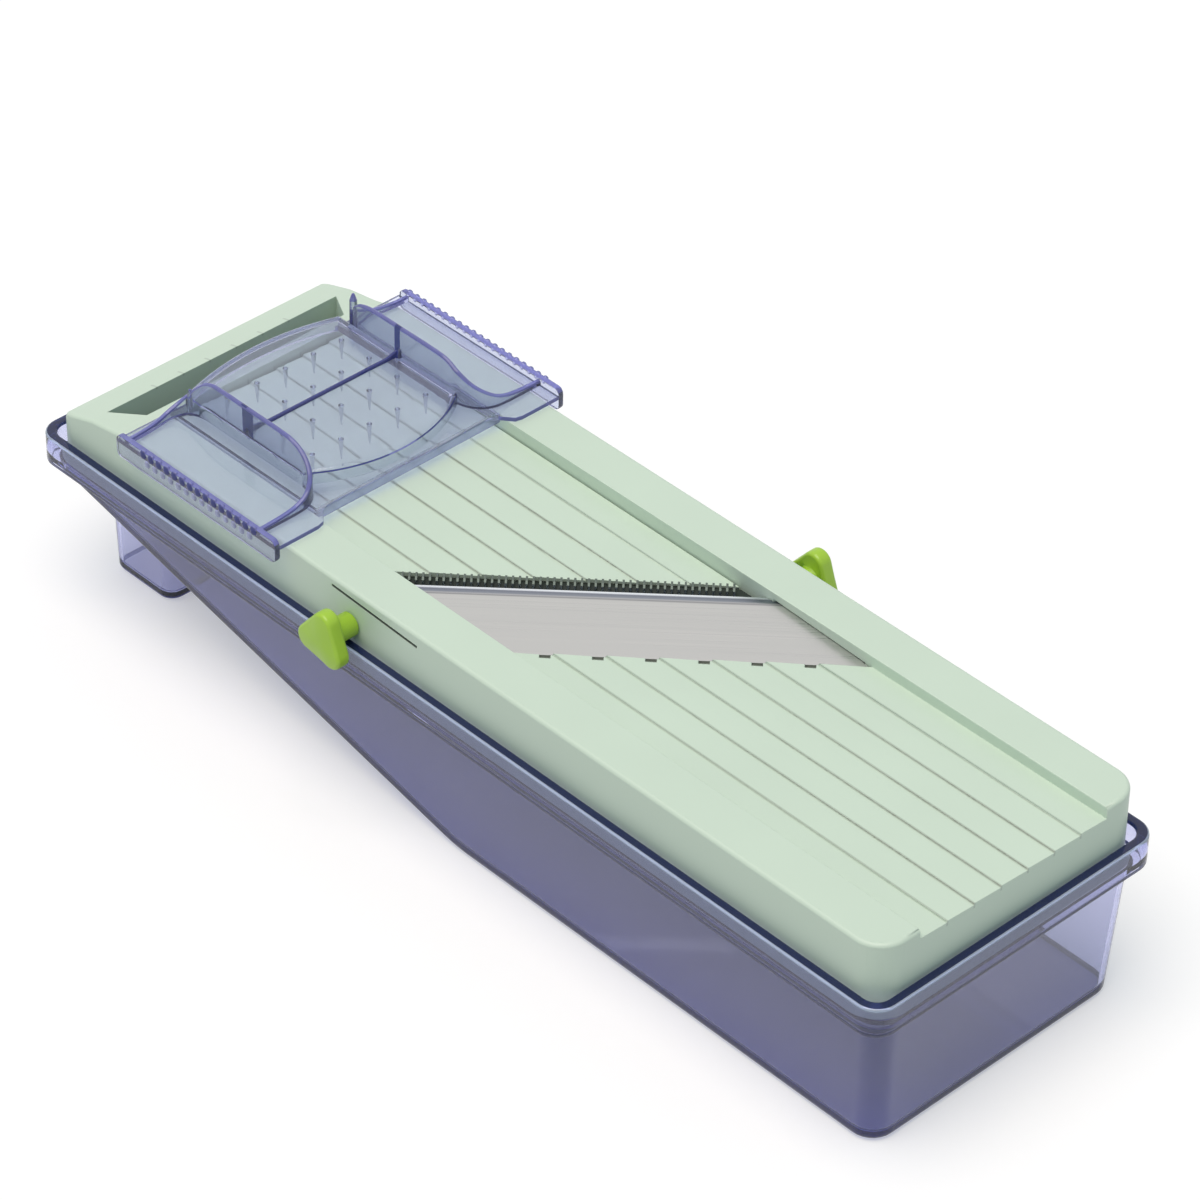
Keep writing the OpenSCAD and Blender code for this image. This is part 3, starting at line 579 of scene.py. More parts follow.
def tray_rings(size):
    """Rings over the tray: floor edge, outer wall, ledge, rim, inner wall and inner floor edge."""
    bend, rim, edge = size.floor_round / MM, size.rim_round / MM, size.ledge_round / MM
    # Roundings of the rim's inner and outer low edges, and of the corner between the rim and the ledge
    inner, outer, fillet = 0.35, 0.8, 0.5
    lean = LEAN * (LEDGE_LOW - LEAN_START) / (LEDGE - LEAN_START)
    band = [side - RIM_BAND for side in (RIM_LEN, RIM_WID, RIM_CORNER)]
    well = [side - WALL + grow for side, grow in ((BASE_LEN, LEAN), (BASE_WID, LEAN), (BASE_CORNER, 0.0))]

    def grown(plan, out, height):
        return level_ring(*(side + out for side in plan), height)

    rings = [floor_ring(bend * (1 - math.sin(t)), 0.0, bend * (1 - math.cos(t))) for t in arc(0, 90, 5)]
    rings.append(level_ring(BASE_LEN + lean, BASE_WID + lean, BASE_CORNER, LEDGE_LOW))
    rings += [grown(band, 0.0, LEDGE_LOW), grown(band, 0.0, RIM_LOW + inner), grown(band, inner, RIM_LOW)]
    for soft, height, first, last, steps in ((outer, RIM_LOW + outer, -90, 0, 3),
                                             (rim, RIM_TOP - rim, 0, 90, 4)):
        place = (RIM_LEN - soft, RIM_WID - soft, height)
        rings += rounded_rings(soft, RIM_CORNER - soft, place, first, last, steps)
    lip = (band[0] - RIM_LIP + rim, band[1] - RIM_LIP + rim, RIM_TOP - rim)
    rings += rounded_rings(rim, band[2] + rim, lip, 90, 180, 4)
    rings += [grown(band, 0.0, LEDGE + fillet), grown(band, -fillet, LEDGE)]
    rings += [grown(well, edge * (1 - math.sin(t)), LEDGE - edge * (1 - math.cos(t))) for t in arc(0, 90, 3)]
    rings += [floor_ring(WALL + bend * (1 - math.sin(t)), FLOOR, bend * (1 - math.cos(t)))
              for t in reversed(arc(0, 90, 5))]
    return rings


def foot_ring(inset, radius, grow, height, follow=None):
    """Ring of the foot; follow gives a height from the tray's floor instead."""
    a, b = FOOT_LEN - inset + grow, FOOT_WID - inset + grow
    points = []
    for sx, sy, first in ((-1, -1, 180), (1, -1, 270), (1, 1, 0), (-1, 1, 90)):
        points += corner(FOOT_X + sx * (a - radius), sy * (b - radius), radius, first, 6)
    return [(x, y, height if follow is None else tray_floor(x) + follow) for x, y in points]


def foot_cup():
    """Thin-walled foot, open at the top, which ends inside the thickness of the tray's floor."""
    rings = [foot_ring(i, r, 0.0, z) for i, r, z in FOOT_EDGE]
    rings += [foot_ring(i, r, 1.0, 0.0, follow=FLOOR / 2) for i, r in ((0.0, 6.0), (WALL, 4.5))]
    rings += [foot_ring(i + WALL, max(r - WALL, 1.5), 0.0, z + FLOOR) for i, r, z in reversed(FOOT_EDGE)]
    return loft(rings)


def foot_bore():
    """Opening in the tray's floor above the foot."""
    rings = [foot_ring(WALL, 4.5, 0.3, 20.0), foot_ring(WALL, 4.5, 1.0, 0.0, follow=FLOOR / 2),
             foot_ring(WALL, 4.5, 1.2, 0.0, follow=6.0)]
    return loft(rings)


# How far a normal leans to its side on a rounded face, and how far up or down on a flat one
LEANING, FLAT = 0.2, 0.9


def tray_face(at, normal):
    """Violet painted shade on the underside, dark corners along the floor and the rim that are painted shade
    and deep tint, and a painted highlight on the outer edge of the rim.
    """
    if at.z > RIM_TOP - 1.3:
        outward = any(n * place > LEANING * abs(place) for n, place in ((normal.x, at.x), (normal.y, at.y)))
        return PAINTED_HIGHLIGHT if outward else DEEP_AND_SHADED
    if normal.z > -LEANING:
        return POLISHED
    if at.z > LEDGE_LOW - 1.0:
        return DEEP_AND_SHADED if at.z < RIM_LOW + 0.2 else POLISHED
    if at.z < 4.0 and abs(at.x - FOOT_X) < FOOT_LEN + 3.0:
        return POLISHED if normal.z < -FLAT else VIOLET_AND_SHADED
    return VIOLET_AND_SHADED if normal.z < -FLAT else DEEP_AND_SHADED


class SLICER_OT_catch_tray(bpy.types.Operator):
    """Clear catch tray with its rim, ledge, sloping floor and foot"""
    bl_idname = "slicer.catch_tray"
    bl_label = "Catch Tray"

    def execute(self, context):
        size = settings().tray
        piece = plain_object("tray_shell", *loft_mirrored(tray_rings(size)))
        combine(piece, plain_object("bore", *foot_bore()), "DIFFERENCE")
        combine(piece, plain_object("cup", *foot_cup()), "UNION")
        finish_piece(piece, "tray", clear_san("violet_clear_SAN_tray", size), 35, even=True)
        sort_faces(piece, tray_face)
        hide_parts("catch_tray")
        return {"FINISHED"}


# ---- Slicer body and infeed plate ----

BODY_LEN, BODY_WID, BODY_CORNER = 218.85, 65.0, 12.0
# Height of the top at places along the body
BODY_TOP = [(-218.85, 72.6), (-211.35, 82.0), (-195.5, 87.0), (-181.0, 89.3), (-171.0, 92.0), (218.85, 92.0)]
STRIPE_LINES = [-CHANNEL / 2 + CHANNEL * k / STRIPES for k in range(1, STRIPES)]
# How far the envelope stands off the sides and the top, and where it starts, below the body
STAND_OFF, TOP_STAND_OFF, ENVELOPE_LOW = 0.02, 0.004, 50.0


def body_top(x):
    """Height of the top of the body at a place along it."""
    for (x0, z0), (x1, z1) in zip(BODY_TOP, BODY_TOP[1:]):
        if x <= x1:
            return z0 + (z1 - z0) * max(x - x0, 0.0) / (x1 - x0)
    return BODY_TOP[-1][1]


def body_envelope(soft):
    """Closed shape round the body, with its whole top edge rounded."""
    places = [-214.0, -211.35, -208.0, -203.0, -199.0, -195.5, -191.0, -186.0, -181.0, -176.0, -171.0, -168.0,
              -160.0] + [-140.0 + 35 * k for k in range(10)]

    def half(inset):
        a, b, r = BODY_LEN - inset, BODY_WID - inset, BODY_CORNER - inset
        low = [(-(a - r) - r * math.cos(turn), -(b - r) - r * math.sin(turn)) for turn in arc(0, 90, 12)]
        side = [(x / BODY_LEN * a, -b) for x in places if abs(x) < BODY_LEN - BODY_CORNER - 1]
        return low + side + [(-x, y) for x, y in reversed(low)]

    rings = [mirrored([p + (ENVELOPE_LOW,) for p in half(-STAND_OFF)])]
    for turn in arc(0, 90, 6):
        inset, drop = soft * (1 - math.cos(turn)), soft * (1 - math.sin(turn))
        near = [(x, y, body_top(x) - drop + TOP_STAND_OFF) for x, y in half(inset - STAND_OFF)]
        rings.append(mirrored(near))
    return loft_mirrored(rings)


def outside(point):
    """Whether a point lies on the outer wall of the body."""
    reach = 0.3
    if abs(point.y) > BODY_WID - reach or abs(point.x) > BODY_LEN - 0.25:
        return True
    dx, dy = abs(point.x) - (BODY_LEN - BODY_CORNER), abs(point.y) - (BODY_WID - BODY_CORNER)
    return dx > 0 and dy > 0 and math.hypot(dx, dy) > BODY_CORNER - reach


def small_edge(edge):
    """1 for an edge with the small rounding: not on the outer rim, the stripes or the blade's slot."""
    if not sharp_corner(edge, 35):
        return 0.0
    a, b = (v.co / MM for v in edge.verts)
    on_rim = outside(a) and outside(b) and min(a.z, b.z) > 71
    on_stripe = all(any(abs(p.y - y) < 0.1 for y in STRIPE_LINES) for p in (a, b)) and a.z > 85
    at_slot = max(a.y, b.y) < -60 and 82 < a.z < 89
    return 0.0 if on_rim or on_stripe or at_slot else 1.0


class SLICER_OT_body(bpy.types.Operator):
    """Mint body with its rails, outfeed deck, slot and hand grip"""
    bl_idname = "slicer.body"
    bl_label = "Slicer Body"

    def execute(self, context):
        size = settings().body
        piece = merged_copy("slicer_body", "body_shell")
        soften(piece, size.edge_round, small_edge, 2)
        combine(piece, plain_object("envelope", *body_envelope(size.top_round / MM)), "INTERSECT")
        finish_piece(piece, "slicer", mint_abs(), 32, even=True)
        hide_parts("slicer_body")
        return {"FINISHED"}


class SLICER_OT_infeed_plate(bpy.types.Operator):
    """Mint infeed plate with its stripes and ribs"""
    bl_idname = "slicer.infeed_plate"
    bl_label = "Infeed Plate"

    def execute(self, context):
        piece = merged_copy("infeed_plate", "infeed_plate_skin")
        finish_piece(piece, "infeed", mint_abs(), 32, even=True)
        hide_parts("infeed_plate")
        return {"FINISHED"}


# ---- Metal parts ----

class SLICER_OT_metal_parts(bpy.types.Operator):
    """Blade, comb, hinge rod, bridge, studs, screws and nuts"""
    bl_idname = "slicer.metal_parts"
    bl_label = "Blade, Comb and Fasteners"

    def execute(self, context):
        for finish, nodes in (
                (ground_steel, ["main_blade"]), (stamped_steel, ["comb_teeth"]), (dark_nylon, ["comb_bar"]),
                (bright_steel, ["hinge_rod", "blade_studs", "blade_washers", "blade_nuts", "near_stud",
                                "far_stud", "bridge_bar", "bridge_screws", "adjuster_screw",
                                "adjuster_knob_screw"]),
                (turned_brass, ["near_insert", "far_insert", "bridge_insert"])):
            for node in nodes:
                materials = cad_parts[node].data.materials
                materials.clear()
                materials.append(finish())
        return {"FINISHED"}


# ---- Knobs ----

# Points round a knob
AROUND = 96
# Reach, tip radius and thickness of a head, and where its back and its axis lie
KNOB_REACH, KNOB_TIP, KNOB_THICK, KNOB_BACK, KNOB_X, KNOB_Z = 12.4, 5.0, 7.0, 74.8, 46.6, 77.0
# Radius and distance from the middle of the body of each ring of a collar, which flares into its head
COLLAR = ((4.4, 65.4), (4.8, 65.8), (4.8, 75.1), (4.975, 75.4), (5.3, 75.6))


def head_reach(turn, reach, tip):
    """Distance from the axis to the outline of a three-sided head with rounded corners."""
    off = math.degrees(turn) % 120
    off = math.radians(min(off, 120 - off))
    centre, sixty = reach - tip, math.radians(60)
    if off < math.atan2(tip * math.sin(sixty), centre + tip * math.cos(sixty)):
        return centre * math.cos(off) + math.sqrt(tip ** 2 - (centre * math.sin(off)) ** 2)
    return (centre * math.cos(sixty) + tip) / math.cos(sixty - off)


def round_about(reach_of, height):
    """Level ring about the axis of a knob, at a distance that may depend on the direction."""
    return [(reach_of(a) * math.cos(a), reach_of(a) * math.sin(a), height)
            for a in (2 * math.pi * k / AROUND for k in range(AROUND))]


def head_rings(thick, edge, dome, turn):
    """Rings of a three-sided head from its back to the middle of its domed face, as (x, y, z)."""
    levels = [(edge * (1 - math.sin(t)), edge * (1 - math.cos(t))) for t in arc(0, 90, 4)]
    levels += [(edge * (1 - math.cos(t)), thick - edge * (1 - math.sin(t))) for t in arc(0, 90, 5)]
    rings = [round_about(lambda a: head_reach(a - turn, KNOB_REACH, KNOB_TIP) - inset, height)
             for inset, height in levels]
    rim = rings[-1]
    for share in (0.75, 0.5, 0.25):
        rings.append([(x * share, y * share, thick + dome * (1 - share ** 2)) for x, y, _ in rim])
    return rings


class SLICER_OT_side_knobs(bpy.types.Operator):
    """Two three-sided lime knobs that clamp the comb"""
    bl_idname = "slicer.side_knobs"
    bl_label = "Side Knobs"

    def execute(self, context):
        size = settings().knob
        edge, dome = size.edge / MM, size.dome / MM
        for name, side, turn, node, body in (("near_knob_head", -1, 80, "near_knob", "near_turner"),
                                             ("far_knob_head", 1, 40, "far_knob", "far_turner")):
            rings = [round_about(lambda a: radius, height) for radius, height in COLLAR]
            rings += [[(x, y, z + KNOB_BACK) for x, y, z in ring]
                      for ring in head_rings(KNOB_THICK - dome, edge, dome, math.radians(turn))]
            points, faces = loft(rings)
            # The knob's axis points away from the body, and its own x stays along the slicer
            placed = [(side * KNOB_X + x, side * z, KNOB_Z - side * y) for x, y, z in points]
            piece = plain_object(name, placed, faces)
            finish_piece(piece, body, lime_abs(), 50)
            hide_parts(node)
        return {"FINISHED"}


class SLICER_OT_adjuster_knob(bpy.types.Operator):
    """Lime knob of the thickness adjuster below the infeed plate"""
    bl_idname = "slicer.adjuster_knob"
    bl_label = "Adjuster Knob"

    def execute(self, context):
        piece = merged_copy("adjuster_knob", "adjuster_knob_skin")
        soften(piece, 0.8 * MM, lambda edge: 1.0 if sharp_corner(edge, 60) else 0.0, 3)
        finish_piece(piece, "adjuster_turner", lime_abs(), 40)
        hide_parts("adjuster_knob")
        return {"FINISHED"}


# ---- Food holder ----

# Middle, half length and half width of the holder, in millimetres
HOLDER_X, HOLDER_LEN, HOLDER_WID = -126.5, 45.5, 71.4
# Heights of the underside and top of the plate, of the plateau and of the tips of the spikes
WING_LOW, WING_TOP, PLATEAU, SPIKE_LOW = 92.3, 94.3, 100.0, 89.5
# Place of the rib, thickness of a side grip, and half the width of the plateau
RIB_X, GRIP_THICK, PLATEAU_WID = -135.5, 2.6, 38.0
# Outer side, inner side and low edge of the skirts that run in the channel
SKIRT_OUT, SKIRT_IN, SKIRT_LOW = 45.6, 43.6, 89.4


def inset_outline(outline, amount):
    """Moves a closed outline inwards; it runs anticlockwise."""
    moved = []
    for i, (x, y) in enumerate(outline):
        (ax, ay), (bx, by) = outline[i - 1], outline[(i + 1) % len(outline)]
        one, two = Vector((x - ax, y - ay)).normalized(), Vector((bx - x, by - y)).normalized()
        normal = Vector((-one.y - two.y, one.x + two.x))
        normal.normalize()
        share = max(normal.dot(Vector((-one.y, one.x))), 0.4)
        moved.append((x + normal.x * amount / share, y + normal.y * amount / share))
    return moved


def soft_slab(outline, low, high, soft):
    """Slab over an outline, with its upper and lower edges rounded."""
    return loft([[(x, y, height) for x, y in inset_outline(outline, inset)] for inset, height in (
        (soft, low), (soft * 0.3, low + soft * 0.3), (0.0, low + soft), (0.0, high - soft),
        (soft * 0.3, high - soft * 0.3), (soft, high))])


def swept_wall(path, thick, low):
    """Wall of a thickness along points of (x, y, top height), with a rounded top."""
    half = thick / 2
    rings = []
    for i, (x, y, top) in enumerate(path):
        ahead, behind = path[min(i + 1, len(path) - 1)], path[max(i - 1, 0)]
        along = Vector((ahead[0] - behind[0], ahead[1] - behind[1])).normalized()
        far = [(half * 1.25, low), (half * 1.1, low + 1.5), (half, top - half),
               (half * 0.7, top - half * 0.3)]
        shape = [(-off, z) for off, z in far] + [(0.0, top)] + far[::-1]
        rings.append([(x + -along.y * off, y + along.x * off, z) for off, z in shape])
    return loft(rings)


def smooth_line(keys, steps=5):
    """Smooth line through key points."""
    line = []
    for i in range(len(keys) - 1):
        p = [Vector(keys[max(min(k, len(keys) - 1), 0)]) for k in (i - 1, i, i + 1, i + 2)]
        for k in range(steps):
            t = k / steps
            line.append(0.5 * (2 * p[1] + (p[2] - p[0]) * t + (2 * p[0] - 5 * p[1] + 4 * p[2] - p[3]) * t * t
                               + (3 * p[1] - p[0] - 3 * p[2] + p[3]) * t ** 3))
    return [tuple(p) for p in line] + [keys[-1]]


# Places and top heights along a palm wall, from its back end to its front end
PALM_KEYS = [(-167.0, -69.6, 96.4), (-167.2, -62.0, 96.6), (-168.0, -54.0, 97.2), (-168.6, -48.0, 98.6),
             (-166.8, -42.0, 102.5), (-163.0, -39.2, 107.6), (-157.5, -38.0, 111.4), (-150.0, -38.0, 112.4),
             (-135.0, -38.0, 112.4), (-120.0, -38.0, 112.4), (-110.0, -38.0, 111.8), (-103.0, -38.2, 108.6),
             (-97.0, -40.6, 104.4), (-93.2, -45.6, 100.6), (-92.2, -51.0, 98.2), (-92.0, -58.0, 97.0),
             (-92.0, -69.6, 96.4)]


def plate_outline():
    """Plan of the plate: wings over the rails, set back across the channel."""
    wing, radius = 68.4, 3
    side = [(-87.4, 0.0), (-87.8, 20.0), (-88.4, 34.0), (-88.2, 40.0), (-86.8, 43.4), (-84.2, 45.4),
            (-81.8, 47.4), (-81.0, 50.5)]
    side += corner(-84.0, wing, radius, 0, 3)
    side += [(-169.0 - radius * math.sin(a), wing + radius * math.cos(a)) for a in arc(0, 90, 3)]
    return side + [(x, -y) for x, y in reversed(side[1:])]


def plateau_ring(grow, height):
    """Ring round the palm plateau: a tight arc in front, a shallow one behind."""
    ring = []
    # Middle, radius, facing and number of steps of each arc
    for x, radius, facing, steps in ((-155.0, 64.0, 1, 12), (-68.0, 110.0, -1, 8)):
        reach = radius + grow
        for k in range(-steps, steps + 1):
            a = math.asin((PLATEAU_WID + grow) / reach) * k * facing / steps
            ring.append((x + facing * math.cos(a) * reach, math.sin(a) * reach, height))
    return ring


def plateau_cup():
    """Raised shell of the plateau, open below."""
    # Outer and inner rounding of the top edge, and height of the foot
    outer, inner, foot = 2.2, 1.2, WING_LOW + 0.2
    rings = [plateau_ring(0.0, foot)]
    rings += [plateau_ring(-outer * (1 - math.cos(t)), PLATEAU - outer * (1 - math.sin(t)))
              for t in arc(0, 90, 5)]
    rings += [plateau_ring(-9.0, PLATEAU + 0.25), plateau_ring(-20.0, PLATEAU + 0.4)]
    middle = len(rings) - 1
    rings.append(plateau_ring(-20.0, PLATEAU - 1.7))
    rings += [plateau_ring(-3.2 + inner * math.sin(t), PLATEAU - 2.0 - inner * (1 - math.cos(t)))
              for t in arc(0, 90, 3)]
    rings.append(plateau_ring(-2.0, foot))
    points, faces = loft(rings, close_ends=False)
    count, last = len(rings[0]), len(rings) - 1
    # The top and the underside are closed at their own middle rings, the foot between first and last
    faces = [f for f in faces if not (min(f) // count == middle and max(f) // count == middle + 1)]
    faces += [tuple(ring * count + i for i in range(count)) for ring in (middle, middle + 1)]
    faces += [(i, (i + 1) % count, last * count + (i + 1) % count, last * count + i) for i in range(count)]
    return points, faces


def box_solid(low, high):
    """Block from corner to corner with rounded upper and lower edges."""
    outline = [(low[0], low[1]), (high[0], low[1]), (high[0], high[1]), (low[0], high[1])]
    return soft_slab(outline, low[2], high[2], 0.3)


def side_grip(side):
    """Upright grip along one edge of the holder, with round corners seen from the side."""
    x0, x1, z0, z1, r = HOLDER_X - HOLDER_LEN, HOLDER_X + HOLDER_LEN, 86.9, 96.9, 2.6
    outline = []
    for x, z, first in ((x1 - r, z0 + r, -90), (x1 - r, z1 - r, 0), (x0 + r, z1 - r, 90),
                        (x0 + r, z0 + r, 180)):
        outline += corner(x, z, r, first, 4)
    points, faces = soft_slab(outline, HOLDER_WID - GRIP_THICK, HOLDER_WID, 0.5)
    return [(x, side * y, z) for x, z, y in points], faces


def place_rows(name, shape, firsts, steps, counts, sizes):
    """Rows of one small shape, set out by Geometry Nodes and made a plain mesh; sizes are in metres."""
    tree = bpy.data.node_groups.new(name, "GeometryNodeTree")
    tree.interface.new_socket("Geometry", in_out="OUTPUT", socket_type="NodeSocketGeometry")
    names = {}
    for label, kind, value in (("First", "NodeSocketVector", firsts), ("Step", "NodeSocketVector", steps),
                               ("Count", "NodeSocketInt", counts), ("Size", "NodeSocketVector", sizes),
                               ("Finish", "NodeSocketMaterial", None)):
        made = tree.interface.new_socket(label, in_out="INPUT", socket_type=kind)
        names[made.identifier] = value
    given = add(tree, "NodeGroupInput").outputs
    start = {"Count": given["Count"], "Start Location": given["First"], "Offset": given["Step"]}
    line = add(tree, "MeshLine", start, mode="OFFSET")
    small = add(tree, *shape)
    rows = add(tree, "InstanceOnPoints", {"Points": line, "Instance": small, "Scale": given["Size"]})
    real = add(tree, "RealizeInstances", {"Geometry": rows})
    done = add(tree, "SetMaterial", {"Geometry": real, "Material": given["Finish"]})
    add(tree, "NodeGroupOutput", {0: done})
    piece = linked(name, bpy.data.meshes.new(name))
    modifier = piece.modifiers.new("rows", "NODES")
    modifier.node_group = tree
    for key, value in names.items():
        if value is not None:
            modifier[key] = value
    return baked(piece)


BALL = ("MeshUVSphere", {"Segments": 12, "Rings": 8, "Radius": 1.0})
SPIKE = ("MeshCone", {"Vertices": 12, "Radius Top": 1.1, "Radius Bottom": 0.3, "Depth": 1.0})


def grip_rows():
    """Bumps along both side grips: two rows on the near one, one row on the edge of the far one."""
    pitch = settings().holder.bump_pitch
    return [place_rows(name, BALL, (first, y * MM, z * MM), (step, 0.0, 0.0), count,
                       tuple(v * MM for v in scale)) for name, first, y, z, step, count, scale in (
                ("near_upper", -156.0 * MM, -71.0, 95.6, pitch, 15, (1.8, 1.4, 2.0)),
                ("near_lower", (-156.0 + pitch / MM / 2) * MM, -71.2, 92.2, pitch, 14, (1.6, 1.0, 1.6)),
                ("far_upper", -168.0 * MM, 71.2, 95.8, pitch * 0.9, 20, (1.3, 1.3, 1.5)))]


def spike_rows():
    """Four rows of five food spikes below the plateau."""
    depth = PLATEAU - 1.7 - SPIKE_LOW
    return [place_rows("spikes_%d" % i, SPIKE,
                       ((HOLDER_X - 8 + (i - 1.5) * 16) * MM, -28.0 * MM, SPIKE_LOW * MM),
                       (0.0, 14.0 * MM, 0.0), 5, (MM, MM, depth * MM)) for i in range(4)]


def holder_face(at, normal):
    """Violet rims and upright edges; a dark rib and plateau edge, painted shade with the deep tint; painted
    shade on the upper near dots along the grips; a painted highlight on the other dots and on the plate's
    front edge; and clear plates.
    """
    x, y, up = at.x, abs(at.y), normal.z
    if y > HOLDER_WID + 0.05:
        return DEEP_AND_SHADED if at.y < 0 and at.z > 94.0 else PAINTED_HIGHLIGHT
    if y > HOLDER_WID - GRIP_THICK - 0.1:
        return VIOLET_AND_SHADED if at.z > WING_TOP + 0.5 and (up > 0.5 or abs(normal.x) > 0.5) else POLISHED
    if at.z > PLATEAU + 0.5 and abs(x - RIB_X) < 1.5 and y < PLATEAU_WID + 0.6:
        return DEEP_AND_SHADED
    if y < PLATEAU_WID - 0.5 and -178.5 < x < -91.5 and at.z < PLATEAU + 0.6:
        return DEEP_AND_SHADED if LEANING < up < 0.7 else POLISHED
    if at.z < WING_TOP + 0.2:
        if abs(up) > 0.7 or at.z < WING_LOW - 0.3:
            return POLISHED
        return PAINTED_HIGHLIGHT if x > -92.0 and y < 43.0 else VIOLET_AND_SHADED
    return VIOLET_AND_SHADED if up > 0.3 else POLISHED


class SLICER_OT_food_holder(bpy.types.Operator):
    """Clear food holder with its palm plateau, walls, grips and spikes"""
    bl_idname = "slicer.food_holder"
    bl_label = "Food Holder"

    def execute(self, context):
        size = settings().holder
        piece = plain_object("holder_shell", *soft_slab(plate_outline(), WING_LOW, WING_TOP, 0.4))
        bore = loft([plateau_ring(-1.0, height) for height in (80.0, 99.0)])
        combine(piece, plain_object("bore", *bore), "DIFFERENCE")
        parts = [plateau_cup(), side_grip(-1), side_grip(1)]
        for side in (1, -1):
            path = [(x, y * side, z) for x, y, z in smooth_line(PALM_KEYS)]
            parts.append(swept_wall(path, 2.0, WING_TOP - 0.8))
            y0, y1 = sorted((side * SKIRT_OUT, side * SKIRT_IN))
            parts.append(box_solid((-170.0, y0, SKIRT_LOW), (-88.6, y1, WING_TOP - 0.6)))
        parts.append(box_solid((-90.4, -SKIRT_OUT, SKIRT_LOW), (-88.4, SKIRT_OUT, WING_TOP - 0.5)))
        rib = [(RIB_X, y, 101.6 if abs(y) < 34 else 102.6)
               for y in (-38.4, -34.5, -30, -20, -10, 0, 10, 20, 30, 34.5, 38.4)]
        parts.append(swept_wall(rib, 1.6, PLATEAU - 1.0))
        # Posts at the ends of the rib and at the back corners of the palm walls
        for x, y, radius, top in ((-134.5, 36.0, 1.3, 104.6), (-164.5, 39.4, 1.7, 112.3),
                                  (-165.5, -40.6, 1.5, 105.6)):
            taper = ((1.0, 93.6), (0.9, top - 3), (0.35, top - 0.3), (0.12, top))
            parts.append(loft([[(x + radius * share * math.cos(a), y + radius * share * math.sin(a), z)
                                for a in arc(0, 330, 11)] for share, z in taper]))
        for points, faces in parts:
            combine(piece, plain_object("part", points, faces), "UNION")
        for row in spike_rows() + grip_rows():
            combine(piece, row, "UNION")
        finish_piece(piece, "holder",
                     clear_san("violet_clear_SAN_holder", size), 38, even=True)
        sort_faces(piece, holder_face)
        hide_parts("food_holder")
        return {"FINISHED"}


# ---- Stage ----

def eye_rays(tree, *kinds):
    """1 for rays of these kinds that come straight from the camera's side, else 0.

    A ray that has already left a matt surface brings light, so it sees the plain sky and floor."""
    path = add(tree, "LightPath").outputs
    first = add(tree, "Math", {0: path["Diffuse Depth"], 1: 0.5}, operation="LESS_THAN")
    either = path[kinds[0]]
    for kind in kinds[1:]:
        either = add(tree, "Math", {0: either, 1: path[kind]}, operation="ADD", use_clamp=True)
    return add(tree, "Math", {0: either, 1: first}, operation="MULTIPLY")


def painted_board(look):
    """Painted board, matt: it keeps the shadow and turns white to the eye where it is lit."""
    def build(tree):
        through = eye_rays(tree, "Is Transmission Ray")
        shade = add(tree, "Mix", {0: through, 6: look.floor, 7: look.floor_through}, data_type="RGBA")
        matt = add(tree, "BsdfDiffuse", {"Color": shade.outputs[2]})
        lift = add(tree, "Math", {0: eye_rays(tree, "Is Camera Ray", "Is Glossy Ray"), 1: 0.40},
                   operation="MULTIPLY")
        glow = add(tree, "Emission", {"Strength": lift})
        return {"Surface": add(tree, "AddShader", {0: matt, 1: glow})}
    return new_material("matt_painted_board", build)


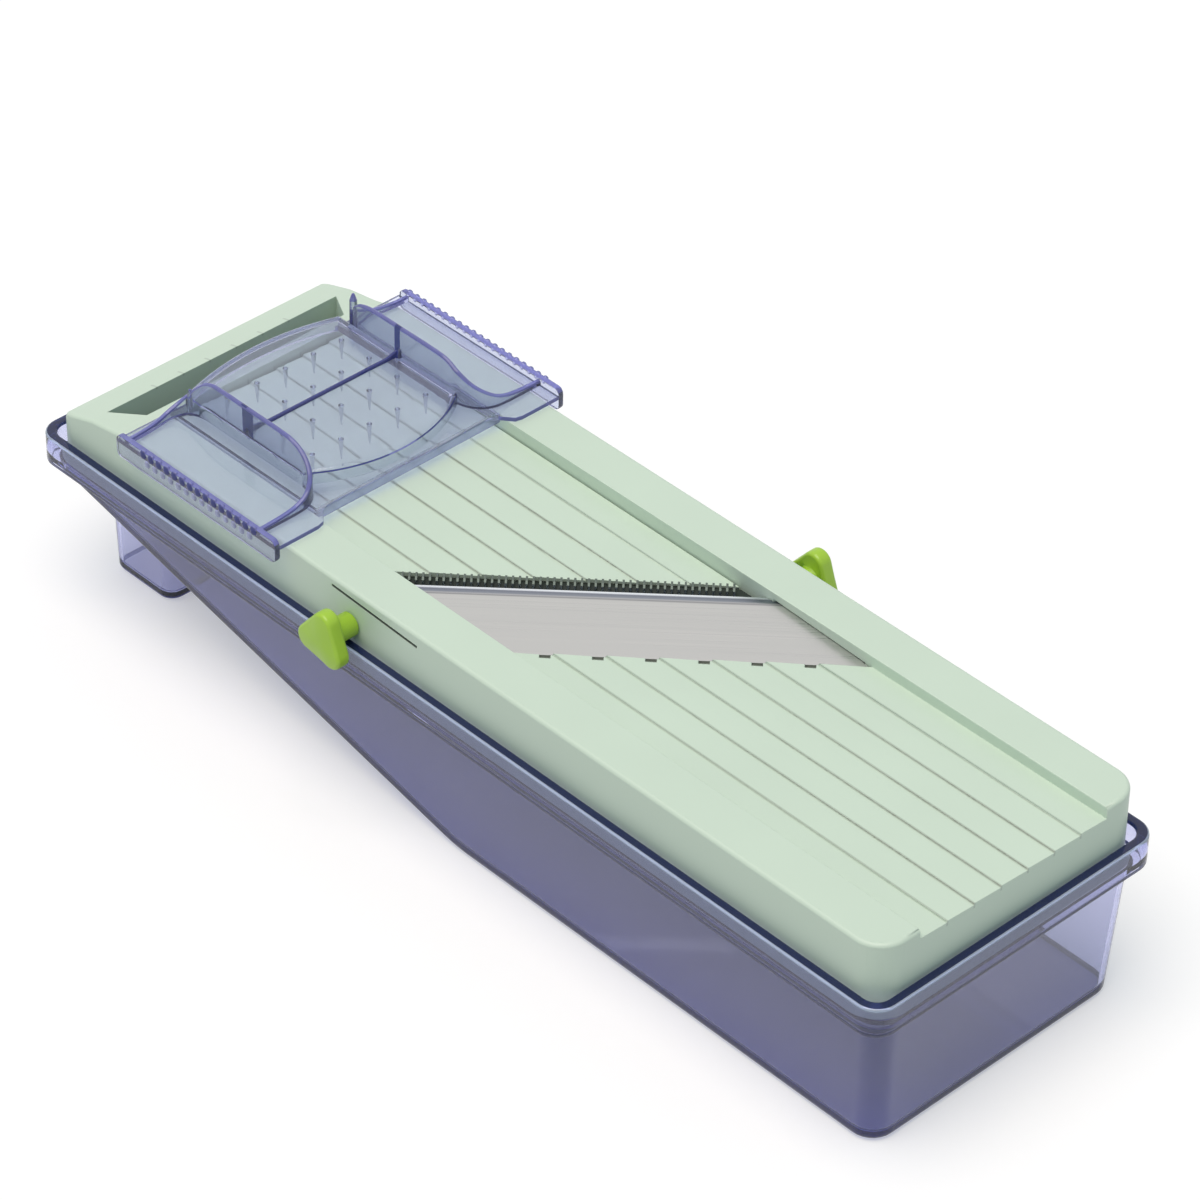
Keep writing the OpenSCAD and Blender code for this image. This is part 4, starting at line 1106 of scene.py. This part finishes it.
class SLICER_OT_stage(bpy.types.Operator):
    """Pale floor, white backdrop, soft lamps and the camera"""
    bl_idname = "slicer.stage"
    bl_label = "Stage"

    def execute(self, context):
        scene, look = context.scene, settings().stage
        scene.view_settings.view_transform = "Standard"

        # Half the floor's side and its drop below the tray, in metres
        side, drop = 4, 0.0004
        mesh = bpy.data.meshes.new("floor")
        mesh.from_pydata([(x * side, y * side, -drop) for x, y in ((-1, -1), (1, -1), (1, 1), (-1, 1))], [],
                         [(0, 1, 2, 3)])
        mesh.materials.append(painted_board(look))
        floor = linked("floor", mesh)

        world = bpy.data.worlds.new("studio")
        world.use_nodes = True
        scene.world = world
        tree = world.node_tree
        tree.nodes.clear()
        seen = eye_rays(tree, "Is Camera Ray", "Is Glossy Ray", "Is Transmission Ray")
        strength = add(tree, "MapRange", {"Value": seen, "To Min": look.sky, "To Max": 1.0})
        tone = add(tree, "Mix", {0: seen, 6: look.sky_tone, 7: (1.0, 1.0, 1.0, 1.0)}, data_type="RGBA")
        back = add(tree, "Background", {"Color": tone.outputs[2], "Strength": strength})
        add(tree, "OutputWorld", {"Surface": back})

        lamp = bpy.data.lights.new("soft_key", "SUN")
        lamp.energy = look.key
        lamp.color = look.key_tone[:3]
        lamp.angle = math.radians(50)
        key = linked("soft_key", lamp)
        key.rotation_mode = "QUATERNION"
        key.rotation_quaternion = Vector((-0.02, 0.26, -0.96)).to_track_quat("-Z", "Y")

        az, el, roll = look.azimuth, look.elevation, look.roll
        back = Vector((math.sin(az) * math.cos(el), -math.cos(az) * math.cos(el), math.sin(el)))
        right = Vector((math.cos(az), math.sin(az), 0.0))
        up = back.cross(right)
        across = math.cos(roll) * right + math.sin(roll) * up
        upward = -math.sin(roll) * right + math.cos(roll) * up
        camera = bpy.data.cameras.new("camera")
        camera.lens = look.lens
        camera.sensor_width = 36.0
        camera.clip_start, camera.clip_end = 0.05, 50.0
        eye = linked("camera", camera)
        target = Vector((-20.70 * MM, 34.15 * MM, 50.0 * MM))
        place = Matrix.Translation(target + back * look.distance)
        eye.matrix_world = place @ Matrix((across, upward, back)).transposed().to_4x4()
        scene.camera = eye
        return {"FINISHED"}


class SLICER_PT_panel(bpy.types.Panel):
    """Lists the pieces of the slicer and their settings"""
    bl_idname = "SLICER_PT_panel"
    bl_label = "Mandoline Slicer"
    bl_space_type = "VIEW_3D"
    bl_region_type = "UI"
    bl_category = "Slicer"

    def draw(self, context):
        everything = settings()
        for group, pieces in PIECES.items():
            box = self.layout.box()
            for piece in pieces:
                box.operator(piece.bl_idname)
            owner = getattr(everything, group)
            for key in owner.bl_rna.properties.keys():
                if key not in ("rna_type", "name"):
                    box.prop(owner, key)


PIECES = {
    "stage": [SLICER_OT_stage],
    "tray": [SLICER_OT_catch_tray],
    "body": [SLICER_OT_body, SLICER_OT_infeed_plate],
    "metal": [SLICER_OT_metal_parts],
    "knob": [SLICER_OT_side_knobs, SLICER_OT_adjuster_knob],
    "holder": [SLICER_OT_food_holder],
}
CLASSES = [TraySettings, BodySettings, MetalSettings, KnobSettings, HolderSettings, StageSettings,
           SlicerSettings, *(piece for group in PIECES.values() for piece in group), SLICER_PT_panel]


def register():
    for item in CLASSES:
        bpy.utils.register_class(item)
    bpy.types.Scene.slicer_settings = PointerProperty(type=SlicerSettings)


def unregister():
    del bpy.types.Scene.slicer_settings
    for item in reversed(CLASSES):
        bpy.utils.unregister_class(item)


def main():
    register()
    for group in PIECES.values():
        for piece in group:
            family, call = piece.bl_idname.split(".")
            getattr(getattr(bpy.ops, family), call)()


if __name__ == "__main__":
    main()
